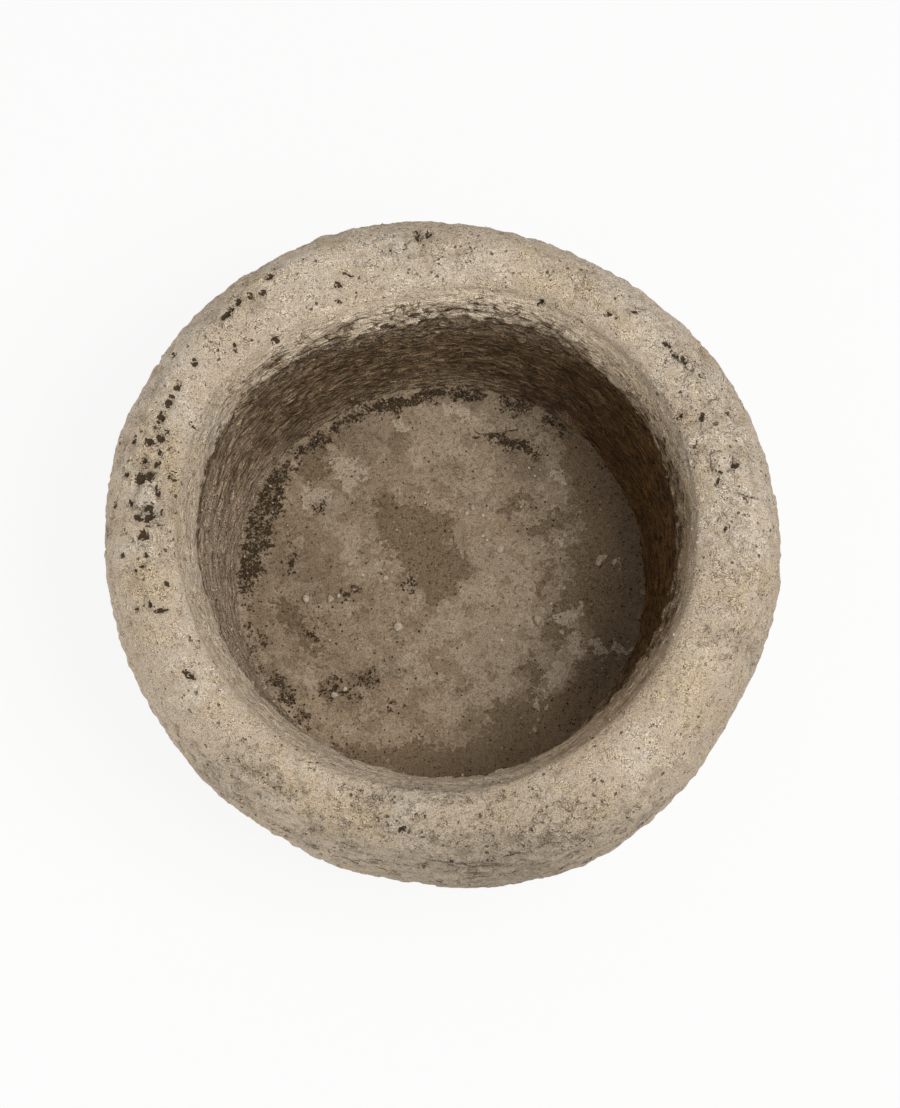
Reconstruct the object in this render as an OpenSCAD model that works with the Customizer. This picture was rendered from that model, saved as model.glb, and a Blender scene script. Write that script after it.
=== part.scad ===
// Round stone trough used as a planter: one carved block with a thick rolled rim, a neck
// that overhangs the hollow, a level bed of packed silt over its floor and a few loose
// crumbs of stone lying on that bed.
//
// Millimetres, +Z up. The origin is the centre of the underside, and -Y is the front.
// Angles run from +X towards +Y, so 0 is the right, 90 the back and 270 the front.

/* [Block] */
// Height from the ground to the crest of the rim
height = 360; // [320:5:420]
// Diameter of the outside at its widest
belly_d = 570; // [550:5:620]
// Height of the widest level above the ground
belly_z = 215; // [180:5:240]
// Diameter of the outside just above the worn bottom edge
foot_d = 476; // [440:4:520]
// Radius of the worn bottom edge
foot_round = 26; // [16:1:36]
// Depth of the worn bottom edge that is levelled off as the underside
foot_cut = 6; // [3:1:10]

/* [Rim] */
// Diameter of the ring along the top of the rim
crest_d = 476; // [460:2:500]
// Depth by which the lowest stretch of the rim lies below the crest
crest_dip = 3; // [0:0.5:6]
// Angle of the lowest stretch of the rim
crest_dip_angle = 235; // [0:5:355]
// Diameter at which the rim turns down into its steep neck
neck_d = 416; // [408:2:440]
// Depth of the top of the neck below the crest
neck_drop = 16; // [10:1:26]
// Diameter of the lip, the narrowest ring of the mouth
mouth_d = 389; // [370:1:400]
// Depth of the lip below the crest
lip_drop = 52; // [40:1:64]

/* [Hollow] */
// Diameter of the hollow at its widest, under the lip
hollow_d = 406; // [402:1:430]
// Depth of the widest level of the hollow below the crest
hollow_drop = 94; // [84:1:120]
// Diameter between the foot of the wall on both sides
floor_d = 380; // [340:2:400]
// Thickness of the stone under the hollow
floor_t = 82; // [60:1:110]
// Radius of the round corner between the wall and the floor
cove_r = 30; // [22:1:44]

/* [Silt and crumbs] */
// Depth of the packed silt over the stone floor
bed_t = 10; // [5:1:18]
// Share of the bed's radius and angle of each crumb, and its width in millimetres
crumb_list = [
    [0.33, 226, 9], [0.52, 336, 10], [0.70, 188, 7], [0.48, 170, 6], [0.40, 68, 6],
    [0.46, 100, 5], [0.66, 20, 6], [0.33, 28, 7], [0.58, 190, 8], [0.37, 149, 5],
    [0.29, 178, 5], [0.44, 324, 5], [0.80, 227, 8], [0.89, 301, 6]
];
// Height of a crumb as a share of its width
crumb_rise = 0.55; // [0.4:0.05:0.8]

/* [Carving by eye] */
// Swells of the outside: waves in a turn, height in millimetres, angle of the first crest
outside_swells = [[1, 1.9, 35], [2, 4.9, 149], [3, 2.0, 30], [4, 1.3, 17]];
// Swells of the mouth, in the same form
mouth_swells = [[2, 1.2, 173], [3, 1.9, 36]];
// Local lumps and flats of the outside: angle, half span in degrees, height
outside_lumps = [
    [164, 14, 1.5], [225, 16, 2], [264, 12, -2], [296, 18, 3.5], [330, 15, -3], [356, 14, 2.5]
];
// Local lumps and flats of the mouth, in the same form
mouth_lumps = [[105, 34, -8], [151, 15, 2.5]];
// Depth of the tool marks left all over the stone
dressing = 1.4; // [0:0.2:2.4]

/* [Broken ledge at the front] */
// Angle of the middle of the ledge
ledge_angle = 276; // [265:1:290]
// Half of the angle that the ledge spans
ledge_span = 24; // [12:1:36]
// Depth of the ledge's edge below the crest
ledge_drop = 24; // [18:1:34]
// Distance by which the edge stands out from the rim
ledge_out = 7; // [2:1:9]
// Depth of the break under the edge
ledge_notch = 4; // [0:1:8]

/* [Smoothness] */
// Facets around the stone
sides = 72; // [48:4:80]

/* [Hidden] */

stone_colour = [0.73, 0.67, 0.58];
silt_colour = [0.52, 0.46, 0.38];
crumb_colour = [0.80, 0.76, 0.69];

// Rings along each stretch of the outline
foot_rings = 4;
side_rings = 7;
roll_rings = 12;
brow_rings = 6;
neck_rings = 3;
undercut_rings = 5;
wall_rings = 6;
cove_rings = 3;
bed_rings = 2;
// Corners around a crumb
crumb_sides = 7;

neck_z = height - neck_drop;
lip_z = height - lip_drop;
hollow_z = height - hollow_drop;
ledge_z = height - ledge_drop;
bed_z = floor_t + bed_t;
cove_z = floor_t + cove_r;
foot_centre_z = foot_round - foot_cut;
// Lean of the side where it rises from the worn edge, so that the two run into each other
foot_lean = atan(PI / 4 * (belly_d - foot_d) / (belly_z - foot_centre_z));
foot_z = foot_centre_z - foot_round * sin(foot_lean);
// Angle of the round corner at which the silt meets it
bed_meets = asin((cove_r - bed_t) / cove_r);
// Depth over which the break under the ledge dies out
notch_fade = 70;
// Share of the mouth's swells that is left at the bottom of the hollow
swell_left = 0.3;

// Steps from just above 0 up to 1
function steps(count) = [for (i = [1:count]) i / count];

// Slow start and slow end between 0 and 1
function ease(t) = (1 - cos(180 * t)) / 2;

// Sum of the waves in a list at angle a
function waves(list, a) = [for (w = list) w[1] * cos(w[0] * (a - w[2]))] * [for (w = list) 1];

// Distance in degrees between two angles
function apart(a, b) = abs((a - b + 540) % 360 - 180);

// Round hump of height 1 over angle b, ending half a span away on each side
function hump(a, b, span) = apart(a, b) < span ? ease(1 - apart(a, b) / span) : 0;

// Sum of the local lumps in a list at angle a
function lumps(list, a) = [for (w = list) w[2] * hump(a, w[0], w[1])] * [for (w = list) 1];

// Ring: [radius, height, share of the mouth's swells, share of the outside's swells]
// Worn bottom edge, an arc from below the underside to the foot of the side
foot_outline = [
    for (t = [0:foot_rings])
        let (a = -90 + (90 - foot_lean) * t / foot_rings)
        [foot_d / 2 + foot_round * (cos(a) - cos(foot_lean)), foot_centre_z + foot_round * sin(a), 0, 1]
];

// Side, a quarter wave from the foot out to the belly
side_outline = [
    for (t = steps(side_rings))
        [(foot_d + (belly_d - foot_d) * sin(90 * t)) / 2, foot_z + (belly_z - foot_z) * t, 0, 1]
];

// Outer half of the rim, a quarter ellipse from the belly to the crest
roll_outline = [
    for (t = steps(roll_rings))
        [(crest_d + (belly_d - crest_d) * cos(90 * t)) / 2, belly_z + (height - belly_z) * sin(90 * t), 0, 1]
];

// Brow, a quarter ellipse from the crest to the top of the neck
brow_outline = [
    for (t = steps(brow_rings))
        let (r = (crest_d - (crest_d - neck_d) * sin(90 * t)) / 2)
        [r, neck_z + neck_drop * cos(90 * t), ease(t), 1 - ease(t)]
];

// Neck, a steep straight face down to the lip
neck_outline = [
    for (t = steps(neck_rings))
        [(neck_d + (mouth_d - neck_d) * t) / 2, neck_z + (lip_z - neck_z) * t, 1, 0]
];

// Undercut, a quarter wave from the lip out to the widest level of the hollow
undercut_outline = [
    for (t = steps(undercut_rings))
        [(mouth_d + (hollow_d - mouth_d) * sin(90 * t)) / 2, lip_z + (hollow_z - lip_z) * t, 1, 0]
];

// Wall of the hollow, drawn in slowly down to the round corner
wall_outline = [
    for (t = steps(wall_rings))
        let (share = 1 - (1 - swell_left) * t)
        [(hollow_d + (floor_d - hollow_d) * ease(t)) / 2, hollow_z + (cove_z - hollow_z) * t, share, 0]
];

// Round corner, an arc between two angles below the level
function cove_outline(from, to, count) = [
    for (t = steps(count))
        let (a = from + (to - from) * t)
        [floor_d / 2 - cove_r + cove_r * cos(a), cove_z - cove_r * sin(a), swell_left, 0]
];

bare_cove = cove_outline(0, bed_meets, cove_rings);
silted_cove = cove_outline(bed_meets, 90, bed_rings);

outside_outline = concat(foot_outline, side_outline, roll_outline);
mouth_outline = concat(brow_outline, neck_outline, undercut_outline);
stone_outline = concat(outside_outline, mouth_outline, wall_outline, bare_cove, silted_cove);

// The silt starts with the last bare ring, which both solids share
bed_outline = concat([bare_cove[cove_rings - 1]], silted_cove);

// Tool marks: crossing waves that fade out towards the silt
function marks(a, z) =
    dressing * sin(9 * a + 4 * z) * cos(5 * a - 7 * z) * min(1, max(0, (z - bed_z) / cove_r));

// Ledge: the rim stands out above ledge_z and is broken back below it
function ledge(a, z) =
    let (above = ledge_out * (height - z) / ledge_drop)
    let (below = -ledge_notch * max(0, 1 - (ledge_z - z) / notch_fade))
    hump(a, ledge_angle, ledge_span) * (z > ledge_z ? above : below);

function outside_offset(a, z) =
    waves(outside_swells, a) + lumps(outside_lumps, a) + ledge(a, z) + marks(a, z);
function mouth_offset(a, z) = waves(mouth_swells, a) + lumps(mouth_lumps, a) + marks(a, z);

// How far the rim is sunk at angle a, for a point of height z
function dip(a, z) =
    z < lip_z ? 0 : crest_dip * ease((z - lip_z) / lip_drop) * ease(1 - apart(a, crest_dip_angle) / 180);

// Point of a ring at angle a
function place(ring, a) =
    let (r = ring[0] + ring[3] * outside_offset(a, ring[1]) + ring[2] * mouth_offset(a, ring[1]))
    [r * cos(a), r * sin(a), ring[1] - dip(a, ring[1])];

function ring_points(ring) = [for (i = [0:sides - 1]) place(ring, 360 * i / sides)];

// Triangles between ring k and the next one, seen from the side that the outline leaves on its right
function band(k) = [
    for (i = [0:sides - 1], upper = [0, 1])
        let (a = k * sides + i, b = k * sides + (i + 1) % sides)
        upper == 1 ? [a, a + sides, b + sides] : [a, b + sides, b]
];

function turned(faces) = [for (f = faces) [for (i = [len(f) - 1:-1:0]) f[i]]];

// Closed skin through a list of rings, with a flat lid on the first and the last one
module skin(outline, inward = false) {
    last = (len(outline) - 1) * sides;
    first_lid = [[for (i = [0:sides - 1]) i]];
    last_lid = [[for (i = [sides - 1:-1:0]) last + i]];
    bands = [for (k = [0:len(outline) - 2], f = band(k)) f];
    faces = concat(first_lid, bands, last_lid);
    points = [for (ring = outline, p = ring_points(ring)) p];
    polyhedron(points, inward ? turned(faces) : faces, convexity = 6);
}

// One crumb: a stubby stone with a flat underside at height 0
module crumb(width, turn) {
    levels = [[0.40, 0], [0.50, 0.35], [0.42, 0.75], [0.16, 1]];
    points = [
        for (level = levels, i = [0:crumb_sides - 1])
            let (a = turn + 360 * i / crumb_sides)
            let (r = width * level[0] * (1 + 0.16 * sin(3 * a) + 0.10 * cos(2 * a)))
            [r * cos(a), r * sin(a), width * crumb_rise * level[1]]
    ];
    top = (len(levels) - 1) * crumb_sides;
    bands = [
        for (k = [0:len(levels) - 2], i = [0:crumb_sides - 1], upper = [0, 1])
            let (a = k * crumb_sides + i, b = k * crumb_sides + (i + 1) % crumb_sides)
            upper == 1 ? [a, a + crumb_sides, b + crumb_sides] : [a, b + crumb_sides, b]
    ];
    polyhedron(
        points,
        concat([[for (i = [0:crumb_sides - 1]) i]], bands, [[for (i = [crumb_sides - 1:-1:0]) top + i]])
    );
}

// Carved block, levelled underneath
module stone_body() {
    color(stone_colour)
    difference() {
        skin(stone_outline);
        translate([-belly_d, -belly_d, -belly_d])
            cube([2 * belly_d, 2 * belly_d, belly_d]);
    }
}

// Packed silt that fills the bottom of the hollow up to a level top
module silt_bed() {
    color(silt_colour)
    skin(bed_outline, inward = true);
}

// Crumbs of stone lying on the silt
module loose_crumbs() {
    bed_r = bare_cove[cove_rings - 1][0];
    color(crumb_colour)
    for (c = crumb_list)
        translate([bed_r * c[0] * cos(c[1]), bed_r * c[0] * sin(c[1]), bed_z])
            crumb(c[2], 3 * c[1]);
}

stone_body();
silt_bed();
loose_crumbs();
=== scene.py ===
"""Looks of a round stone trough planter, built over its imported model.

Laid out as a Blender add-on: settings, one operator for each piece and one for the stage,
a panel, and a main function that runs them in order. Lengths are metres, +Z is up, -Y is
the front, and angles run from +X towards +Y in degrees.
"""

import bpy
import numpy as np
from bpy.props import FloatProperty, FloatVectorProperty, IntProperty, PointerProperty
from bpy.types import Operator, Panel, PropertyGroup
from mathutils import Color, Matrix, Vector


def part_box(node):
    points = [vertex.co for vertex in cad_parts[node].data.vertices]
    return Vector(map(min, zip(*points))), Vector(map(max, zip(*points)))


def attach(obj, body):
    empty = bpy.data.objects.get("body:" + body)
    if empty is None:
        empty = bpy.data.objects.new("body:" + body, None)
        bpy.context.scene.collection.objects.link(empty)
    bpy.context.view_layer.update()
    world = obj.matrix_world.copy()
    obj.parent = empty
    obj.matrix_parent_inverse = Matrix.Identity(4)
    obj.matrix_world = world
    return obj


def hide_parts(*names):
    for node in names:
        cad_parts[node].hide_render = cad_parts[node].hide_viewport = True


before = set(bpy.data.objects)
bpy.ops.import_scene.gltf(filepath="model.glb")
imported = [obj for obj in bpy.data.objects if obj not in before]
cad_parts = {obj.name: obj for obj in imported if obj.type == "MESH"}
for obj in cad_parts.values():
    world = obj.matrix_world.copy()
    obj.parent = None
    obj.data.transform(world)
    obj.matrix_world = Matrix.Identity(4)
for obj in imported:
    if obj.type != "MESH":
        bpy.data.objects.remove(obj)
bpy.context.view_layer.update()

bl_info = {
    "name": "Stone Trough Planter",
    "version": (1, 0, 0),
    "blender": (4, 5, 0),
    "location": "3D View > Sidebar > Trough",
    "description": "Carves a weathered round stone trough with silt and crumbs in its hollow",
    "category": "Add Mesh",
}

BODY = "root"
MM = 0.001

STONE_LOW, STONE_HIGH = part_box("stone_body")
BED_LOW, BED_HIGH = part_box("silt_bed")
HEIGHT = STONE_HIGH.z
FLOOR_Z = BED_LOW.z
BED_Z = BED_HIGH.z
# How far the stone's skin and the middles of its grains stay inside the model's box
SKIN_GAP = 0.0002
GRAIN_GAP = 0.0022

# Camera of the photograph, in metres, and its focal length in photo pixels
PHOTO_WIDTH = 900
PHOTO_HEIGHT = 1108
CAMERA_PLACE = Vector((0.0382, -0.3199, 2.060))
CAMERA_AIM = Vector((0.0089, -0.0035, 0.250))
FOCAL_PIXELS = 2160
# Heights tried along a ray of the camera between the crest and the silt
RAY_STEPS = 900
# Lights: place, aim, width and height in metres
KEY_LIGHT = ((1.00, -0.36, 2.75), (0, 0, 0.25), 1.2, 1.2)
SIDE_LIGHT = ((-1.31, -0.30, 0.24), (0, 0, 0.20), 2.2, 0.30)
LIGHT_COLOUR = (1, 0.985, 0.96)
# Half the width of the ground, and its gap under the stone
GROUND_REACH = 6.0
GROUND_GAP = 0.0005

# Out-of-round form, as carved by eye: waves in a turn, height in mm, angle of the first crest
OUTSIDE_SWELLS = ((1, 1.9, 35), (2, 4.9, 149), (3, 2.0, 30), (4, 1.3, 17))
MOUTH_SWELLS = ((2, 1.2, 173), (3, 1.9, 36))
# Local lumps and flats: angle, half span in degrees, height in mm
OUTSIDE_LUMPS = (
    (164, 14, 1.5), (225, 16, 2), (264, 12, -2), (296, 18, 3.5), (330, 15, -3), (356, 14, 2.5),
)
MOUTH_LUMPS = ((105, 34, -8), (151, 15, 2.5))
# Share of the mouth's swells that is left at the foot of the wall
FOOT_SHARE = 0.3
# Angle of the lowest stretch of the rim
DIP_ANGLE = 235
# Broken ledge at the front: its angle and half span, the drop of its edge below the crest, how far the rim
# stands out there, and how far and over what height it is broken back below
LEDGE_ANGLE = 276
LEDGE_SPAN = 24
LEDGE_DROP = 0.024
LEDGE_OUT = 0.007
LEDGE_BACK = 0.004
LEDGE_BACK_HEIGHT = 0.070

# Rings of the stone's mesh along each stretch of its outline
RINGS = {"foot": 5, "side": 22, "rim": 40, "shoulder": 14, "neck": 15, "lip": 16, "wall": 54, "cove": 6}
# Radius of the ring that strokes are drawn out along. The stone's own is four to six times that
DRAWN_RADIUS = 0.045
# Silt: radius of its mesh, whose edge is buried in the wall, points along each side of it, and its gap
# above the floor
SILT_RADIUS = 0.1925
SILT_POINTS = 300
SILT_GAP = 0.0005
# Radius that the crumbs' shares are taken of, and the radius that loose grit keeps to
BED_RADIUS = 0.182
GRIT_RADIUS = 0.186
GRAIN_COUNT = 6500
GRIT_COUNT = 4600
# Lowest value of a field of marks, in mm
FIELD_LOW = -30.0
# Height in mm from which a stone in the rim has a dark ring of painted shade round it
RINGED_HEIGHT = 1.4

# Open holes in the rim: photo x and y, length and width in mm, and the angle of the length
VUGS = (
    (177, 385, 7, 5, 70), (168, 401, 11, 5, 70), (159, 417, 9, 4, 80), (157, 427, 6, 4, 60),
    (168, 430, 5, 3, 70), (160, 438, 7, 5, 20), (148, 441, 6, 5, 0), (131, 440, 5, 3, 10),
    (143, 460, 6, 4, 20), (161, 453, 5, 3, 110), (156, 463, 6, 3, 50), (124, 474, 4, 4, 0),
    (139, 478, 9, 8, 0), (149, 475, 8, 7, 50), (158, 491, 8, 3, 100), (129, 504, 6, 3, 90),
    (148, 507, 9, 4, 15), (149, 515, 10, 5, 30), (137, 517, 5, 5, 0), (163, 512, 4, 3, 80),
    (114, 504, 5, 3, 90), (140, 537, 7, 4, 20), (145, 534, 8, 4, 130), (147, 554, 4, 3, 60),
    (141, 565, 9, 3, 35), (133, 572, 3, 2, 0), (121, 555, 4, 2, 0), (168, 583, 4, 2, 135),
    (148, 604, 4, 3, 60), (134, 609, 3, 3, 0), (160, 610, 8, 4, 5), (188, 674, 10, 4, 145),
    (226, 312, 12, 4, 35), (238, 301, 6, 5, 50), (250, 295, 8, 4, 160), (263, 292, 4, 4, 0),
    (269, 276, 6, 3, 30), (194, 361, 6, 4, 110), (172, 354, 4, 3, 40), (236, 348, 7, 2, 110),
    (217, 344, 3, 2, 0), (276, 342, 4, 2, 20), (338, 285, 5, 4, 0), (338, 301, 3, 3, 0),
    (345, 271, 3, 3, 0), (352, 277, 3, 3, 0), (193, 425, 3, 3, 0), (176, 479, 3, 3, 0),
    (172, 474, 5, 2, 40), (417, 234, 10, 3, 100), (428, 233, 7, 3, 80), (635, 310, 4, 3, 40),
    (668, 344, 6, 3, 130), (674, 353, 6, 4, 130), (684, 358, 5, 3, 120), (702, 375, 6, 3, 110),
    (701, 417, 6, 3, 60), (677, 418, 5, 3, 40), (726, 527, 4, 3, 40), (737, 464, 6, 4, 60),
    (719, 477, 12, 2, 75), (401, 830, 7, 2, 30), (608, 314, 4, 3, 0), (540, 305, 3, 2, 0),
)
# Stones standing in the rim: photo x and y, width and height in mm
CLASTS = (
    (146, 499, 21, 1.6), (683, 356, 9, 1.6), (690, 365, 8, 1.5), (699, 370, 9, 1.6),
    (719, 407, 14, 2.2), (732, 413, 10, 1.8), (722, 461, 19, 1.8), (671, 330, 8, 1.2),
    (740, 500, 12, 1.5), (735, 545, 11, 1.3), (712, 520, 10, 1.2), (456, 262, 14, 0.9),
    (416, 246, 12, 1.2), (250, 318, 13, 1.0), (640, 292, 10, 1.2), (706, 437, 12, 1.3),
    (160, 470, 12, 1.0), (745, 470, 12, 1.3),
)
# Zones of the rim, given like the holes: ochre stone
OCHRE = (
    (289, 775, 60, 30, 140), (338, 823, 70, 36, 160), (590, 800, 60, 30, 20), (748, 580, 30, 70, 90),
    (690, 690, 40, 70, 45), (240, 290, 50, 20, 40), (560, 285, 60, 20, 160), (155, 455, 34, 60, 0),
    (150, 600, 30, 60, 0), (505, 815, 60, 24, 0), (130, 390, 20, 40, 110),
)
# Pale stone
PALE = (
    (645, 300, 120, 60, 140), (205, 420, 24, 90, 75), (725, 510, 34, 50, 0), (455, 262, 130, 28, 0),
    (700, 440, 24, 60, 90), (146, 499, 22, 20, 0), (300, 297, 50, 24, 40), (395, 835, 46, 20, 170),
    (640, 760, 50, 30, 40), (565, 815, 40, 20, 10), (742, 500, 60, 170, 0), (690, 370, 40, 90, 40),
    (190, 690, 30, 40, 120), (300, 262, 150, 30, 25), (170, 360, 110, 26, 60), (130, 545, 20, 40, 90),
    (352, 256, 110, 26, 12),
)
# Dirty stone, partly painted shade: the marks along the front ledge darken the strip under its edge
DIRT_AND_SHADE = (
    (500, 851, 118, 22, 3), (425, 234, 22, 12, 0), (330, 838, 60, 16, 160), (640, 830, 60, 20, 30),
    (740, 640, 20, 60, 70), (118, 520, 12, 60, 90), (530, 868, 90, 16, 8), (440, 796, 130, 16, 0),
    (210, 780, 40, 16, 130), (402, 790, 24, 14, 0), (264, 772, 64, 22, 142),
)
# Rough, broken stone with lumps and pits
BROKEN = (
    (715, 420, 60, 150, 20), (690, 360, 30, 70, 40), (150, 480, 190, 40, 90), (430, 245, 110, 30, 0),
    (600, 290, 120, 24, 150), (735, 560, 110, 40, 90), (380, 815, 120, 40, 165), (240, 300, 80, 30, 40),
    (560, 820, 110, 40, 15), (250, 780, 70, 40, 140),
)
# Patches of the silt, each by the photo pixels of its outline: damp silt, with painted shadow in the
# large outline over the right and front of the floor
DAMP_AND_SHADE = (
    ((370, 505), (385, 497), (408, 503), (430, 512), (448, 515), (456, 523), (452, 533), (440, 540),
     (458, 548), (470, 556), (466, 577), (450, 595), (434, 603), (423, 600), (419, 582), (404, 568),
     (394, 556), (384, 540), (373, 522)),
    ((520, 489), (531, 494), (529, 503), (514, 512), (507, 519), (501, 514), (507, 503), (513, 495)),
    ((540, 518), (556, 512), (574, 510), (580, 520), (566, 526), (552, 536), (540, 538), (532, 533)),
    ((541, 560), (552, 557), (553, 580), (546, 600), (540, 610), (536, 604), (540, 585)),
    # Over the right and front of the floor: damp silt and painted shadow
    ((538, 408), (556, 432), (564, 450), (560, 462), (567, 478), (571, 492), (578, 510), (584, 524),
     (578, 536), (566, 548), (568, 562), (576, 576), (564, 592), (556, 604), (550, 616), (542, 624),
     (538, 640), (550, 646), (566, 642), (574, 626), (584, 610), (592, 624), (586, 642), (584, 658),
     (572, 662), (574, 680), (562, 692), (548, 698), (534, 690), (524, 700), (496, 704), (486, 712),
     (490, 724), (478, 736), (462, 742), (436, 743), (412, 741), (396, 744), (384, 756), (372, 768),
     (400, 790), (470, 800), (560, 780), (640, 710), (668, 610), (655, 500), (620, 440), (570, 400)),
    ((530, 658), (543, 662), (549, 676), (538, 684), (523, 671)),
    ((300, 440), (316, 434), (331, 442), (331, 470), (322, 484), (306, 484), (298, 468)),
    ((274, 600), (288, 604), (300, 620), (314, 630), (321, 642), (316, 652), (305, 645), (292, 632),
     (278, 618)),
    ((303, 655), (316, 655), (318, 662), (308, 665)),
    ((327, 742), (345, 746), (362, 742), (384, 748), (380, 768), (350, 760), (330, 750)),
)
# A little darker
DIM = (
    ((318, 694), (328, 674), (350, 671), (372, 671), (384, 673), (382, 688), (372, 700), (344, 709),
     (326, 704)),
    ((284, 530), (318, 524), (345, 545), (352, 578), (330, 600), (296, 596), (280, 570)),
    ((386, 430), (404, 427), (413, 434), (411, 452), (404, 465), (393, 470), (386, 456)),
    ((352, 700), (372, 692), (382, 700), (386, 716), (378, 730), (362, 733), (352, 722)),
    ((372, 492), (392, 488), (404, 498), (396, 508), (376, 508)),
    ((400, 576), (410, 578), (406, 588), (398, 586)),
    ((408, 612), (421, 610), (422, 628), (410, 630)),
    ((361, 611), (370, 612), (368, 622), (360, 620)),
    ((290, 505), (276, 515), (268, 535), (256, 575), (250, 610), (256, 640), (262, 660), (275, 680),
     (300, 715), (320, 735), (330, 730), (306, 700), (290, 672), (276, 648), (270, 620), (262, 590),
     (275, 560), (285, 540), (296, 520)),
    ((455, 716), (480, 708), (492, 716), (486, 730), (462, 736)),
    ((400, 696), (420, 690), (432, 704), (424, 722), (404, 724), (394, 710)),
    ((330, 408), (352, 404), (366, 420), (360, 440), (345, 452), (336, 440), (326, 428)),
    ((500, 455), (520, 450), (545, 462), (548, 480), (530, 486), (512, 478), (498, 470)),
    ((330, 588), (346, 582), (362, 586), (380, 592), (372, 602), (350, 602), (334, 600)),
    ((430, 640), (450, 650), (470, 690), (450, 690), (430, 670)),
    ((560, 545), (572, 540), (600, 550), (610, 590), (590, 640), (570, 610), (574, 576)),
)
# A little paler
DUSTY = (
    ((470, 480), (500, 470), (495, 500), (500, 530), (530, 545), (540, 560), (538, 600), (535, 640),
     (520, 690), (490, 700), (455, 715), (420, 700), (400, 680), (395, 650), (425, 630), (440, 605),
     (455, 598), (470, 580), (475, 555), (470, 530), (455, 510)),
    ((408, 405), (440, 400), (480, 412), (530, 428), (560, 450), (574, 505), (560, 508), (550, 490),
     (540, 450), (500, 432), (480, 440), (490, 460), (470, 480), (440, 490), (415, 480), (412, 440)),
    ((318, 500), (350, 490), (362, 530), (384, 560), (390, 580), (360, 580), (330, 560), (312, 530)),
    ((262, 650), (290, 655), (310, 670), (320, 700), (300, 700), (280, 680)),
    ((552, 605), (582, 600), (586, 650), (576, 690), (548, 696), (540, 670), (560, 650), (548, 640)),
)
# White with lime
LIMED = (
    ((333, 457), (350, 457), (359, 466), (365, 470), (361, 481), (354, 488), (350, 497), (341, 492),
     (341, 481), (334, 469)),
    ((397, 421), (402, 418), (407, 422), (406, 428), (400, 430), (396, 426)),
    ((306, 486), (316, 482), (328, 488), (333, 498), (322, 505), (310, 507), (302, 500)),
    ((443, 406), (455, 402), (466, 406), (473, 417), (483, 428), (470, 424), (458, 414), (446, 412)),
    ((552, 618), (566, 610), (580, 606), (580, 616), (572, 624), (566, 630), (556, 626)),
    ((545, 676), (553, 664), (562, 659), (570, 668), (568, 678), (560, 682), (556, 692), (548, 688)),
    ((594, 641), (600, 643), (606, 652), (602, 657), (592, 655)),
    ((612, 650), (617, 640), (625, 642), (628, 654), (621, 655)),
    ((570, 640), (578, 634), (582, 644), (580, 658), (572, 654)),
    ((533, 700), (543, 697), (545, 706), (536, 709)),
    ((549, 470), (556, 467), (563, 476), (565, 484), (554, 482)),
    ((557, 537), (562, 535), (565, 541), (560, 545)),
    ((601, 557), (606, 558), (604, 564), (600, 562)),
    ((620, 563), (626, 563), (625, 568), (620, 568)),
)
# Stained brown
BROWN = (
    ((413, 466), (445, 463), (470, 462), (470, 469), (445, 474), (416, 480)),
    ((333, 512), (363, 508), (365, 518), (340, 524)),
    ((474, 516), (508, 516), (510, 532), (485, 540), (474, 532)),
    ((386, 498), (415, 502), (425, 520), (395, 520)),
    ((420, 650), (440, 655), (450, 675), (425, 672)),
    ((280, 606), (292, 612), (304, 628), (296, 632), (284, 622)),
)
# Black grit
GRIT = (
    ((289, 466), (290, 482), (283, 490), (284, 500), (282, 512), (272, 515), (273, 530), (271, 545),
     (262, 555), (264, 575), (254, 592), (240, 592), (235, 570), (236, 550), (244, 535), (243, 520),
     (247, 505), (256, 498), (264, 485), (270, 470)),
    ((294, 458), (300, 440), (312, 436), (330, 436), (333, 444), (322, 450), (312, 448), (304, 456),
     (300, 464)),
    ((326, 432), (345, 415), (360, 408), (375, 402), (395, 396), (420, 391), (445, 387), (460, 385),
     (478, 388), (480, 398), (470, 402), (452, 399), (440, 400), (430, 404), (410, 406), (398, 413),
     (384, 410), (370, 415), (350, 420), (340, 430)),
    ((500, 400), (515, 396), (532, 402), (530, 410), (516, 416), (504, 412)),
    ((545, 414), (556, 418), (566, 428), (560, 434), (548, 424)),
    ((482, 438), (495, 434), (515, 434), (528, 440), (540, 456), (534, 460), (520, 449), (508, 446),
     (498, 446)),
    ((322, 692), (332, 679), (344, 677), (341, 690), (330, 699)),
    ((354, 676), (370, 674), (379, 679), (368, 687)),
    ((338, 700), (350, 694), (360, 693), (352, 702)),
    ((313, 506), (321, 505), (323, 512), (316, 514)),
    ((288, 562), (290, 550), (295, 548), (293, 560), (289, 570)),
    ((283, 572), (285, 563), (289, 564), (287, 573)),
    ((343, 590), (352, 586), (359, 589), (352, 594), (345, 597)),
    ((306, 631), (314, 632), (320, 639), (312, 640)),
    ((242, 600), (247, 598), (248, 606), (243, 606)),
    ((247, 628), (252, 625), (255, 636), (251, 640)),
    ((262, 636), (267, 637), (267, 646), (263, 645)),
    ((247, 644), (251, 643), (254, 652), (250, 653)),
    ((260, 671), (272, 674), (283, 686), (279, 690), (268, 681)),
    ((278, 688), (290, 690), (299, 704), (290, 708), (280, 698)),
    ((294, 712), (300, 712), (308, 724), (303, 727)),
    ((403, 582), (411, 580), (412, 586), (405, 587)),
    ((393, 704), (400, 702), (400, 709), (395, 710)),
)
# The line scratched in the silt, by photo pixels
SCRATCH = ((473, 425), (475, 432), (480, 434), (489, 434), (499, 433), (509, 431), (518, 429))
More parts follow.
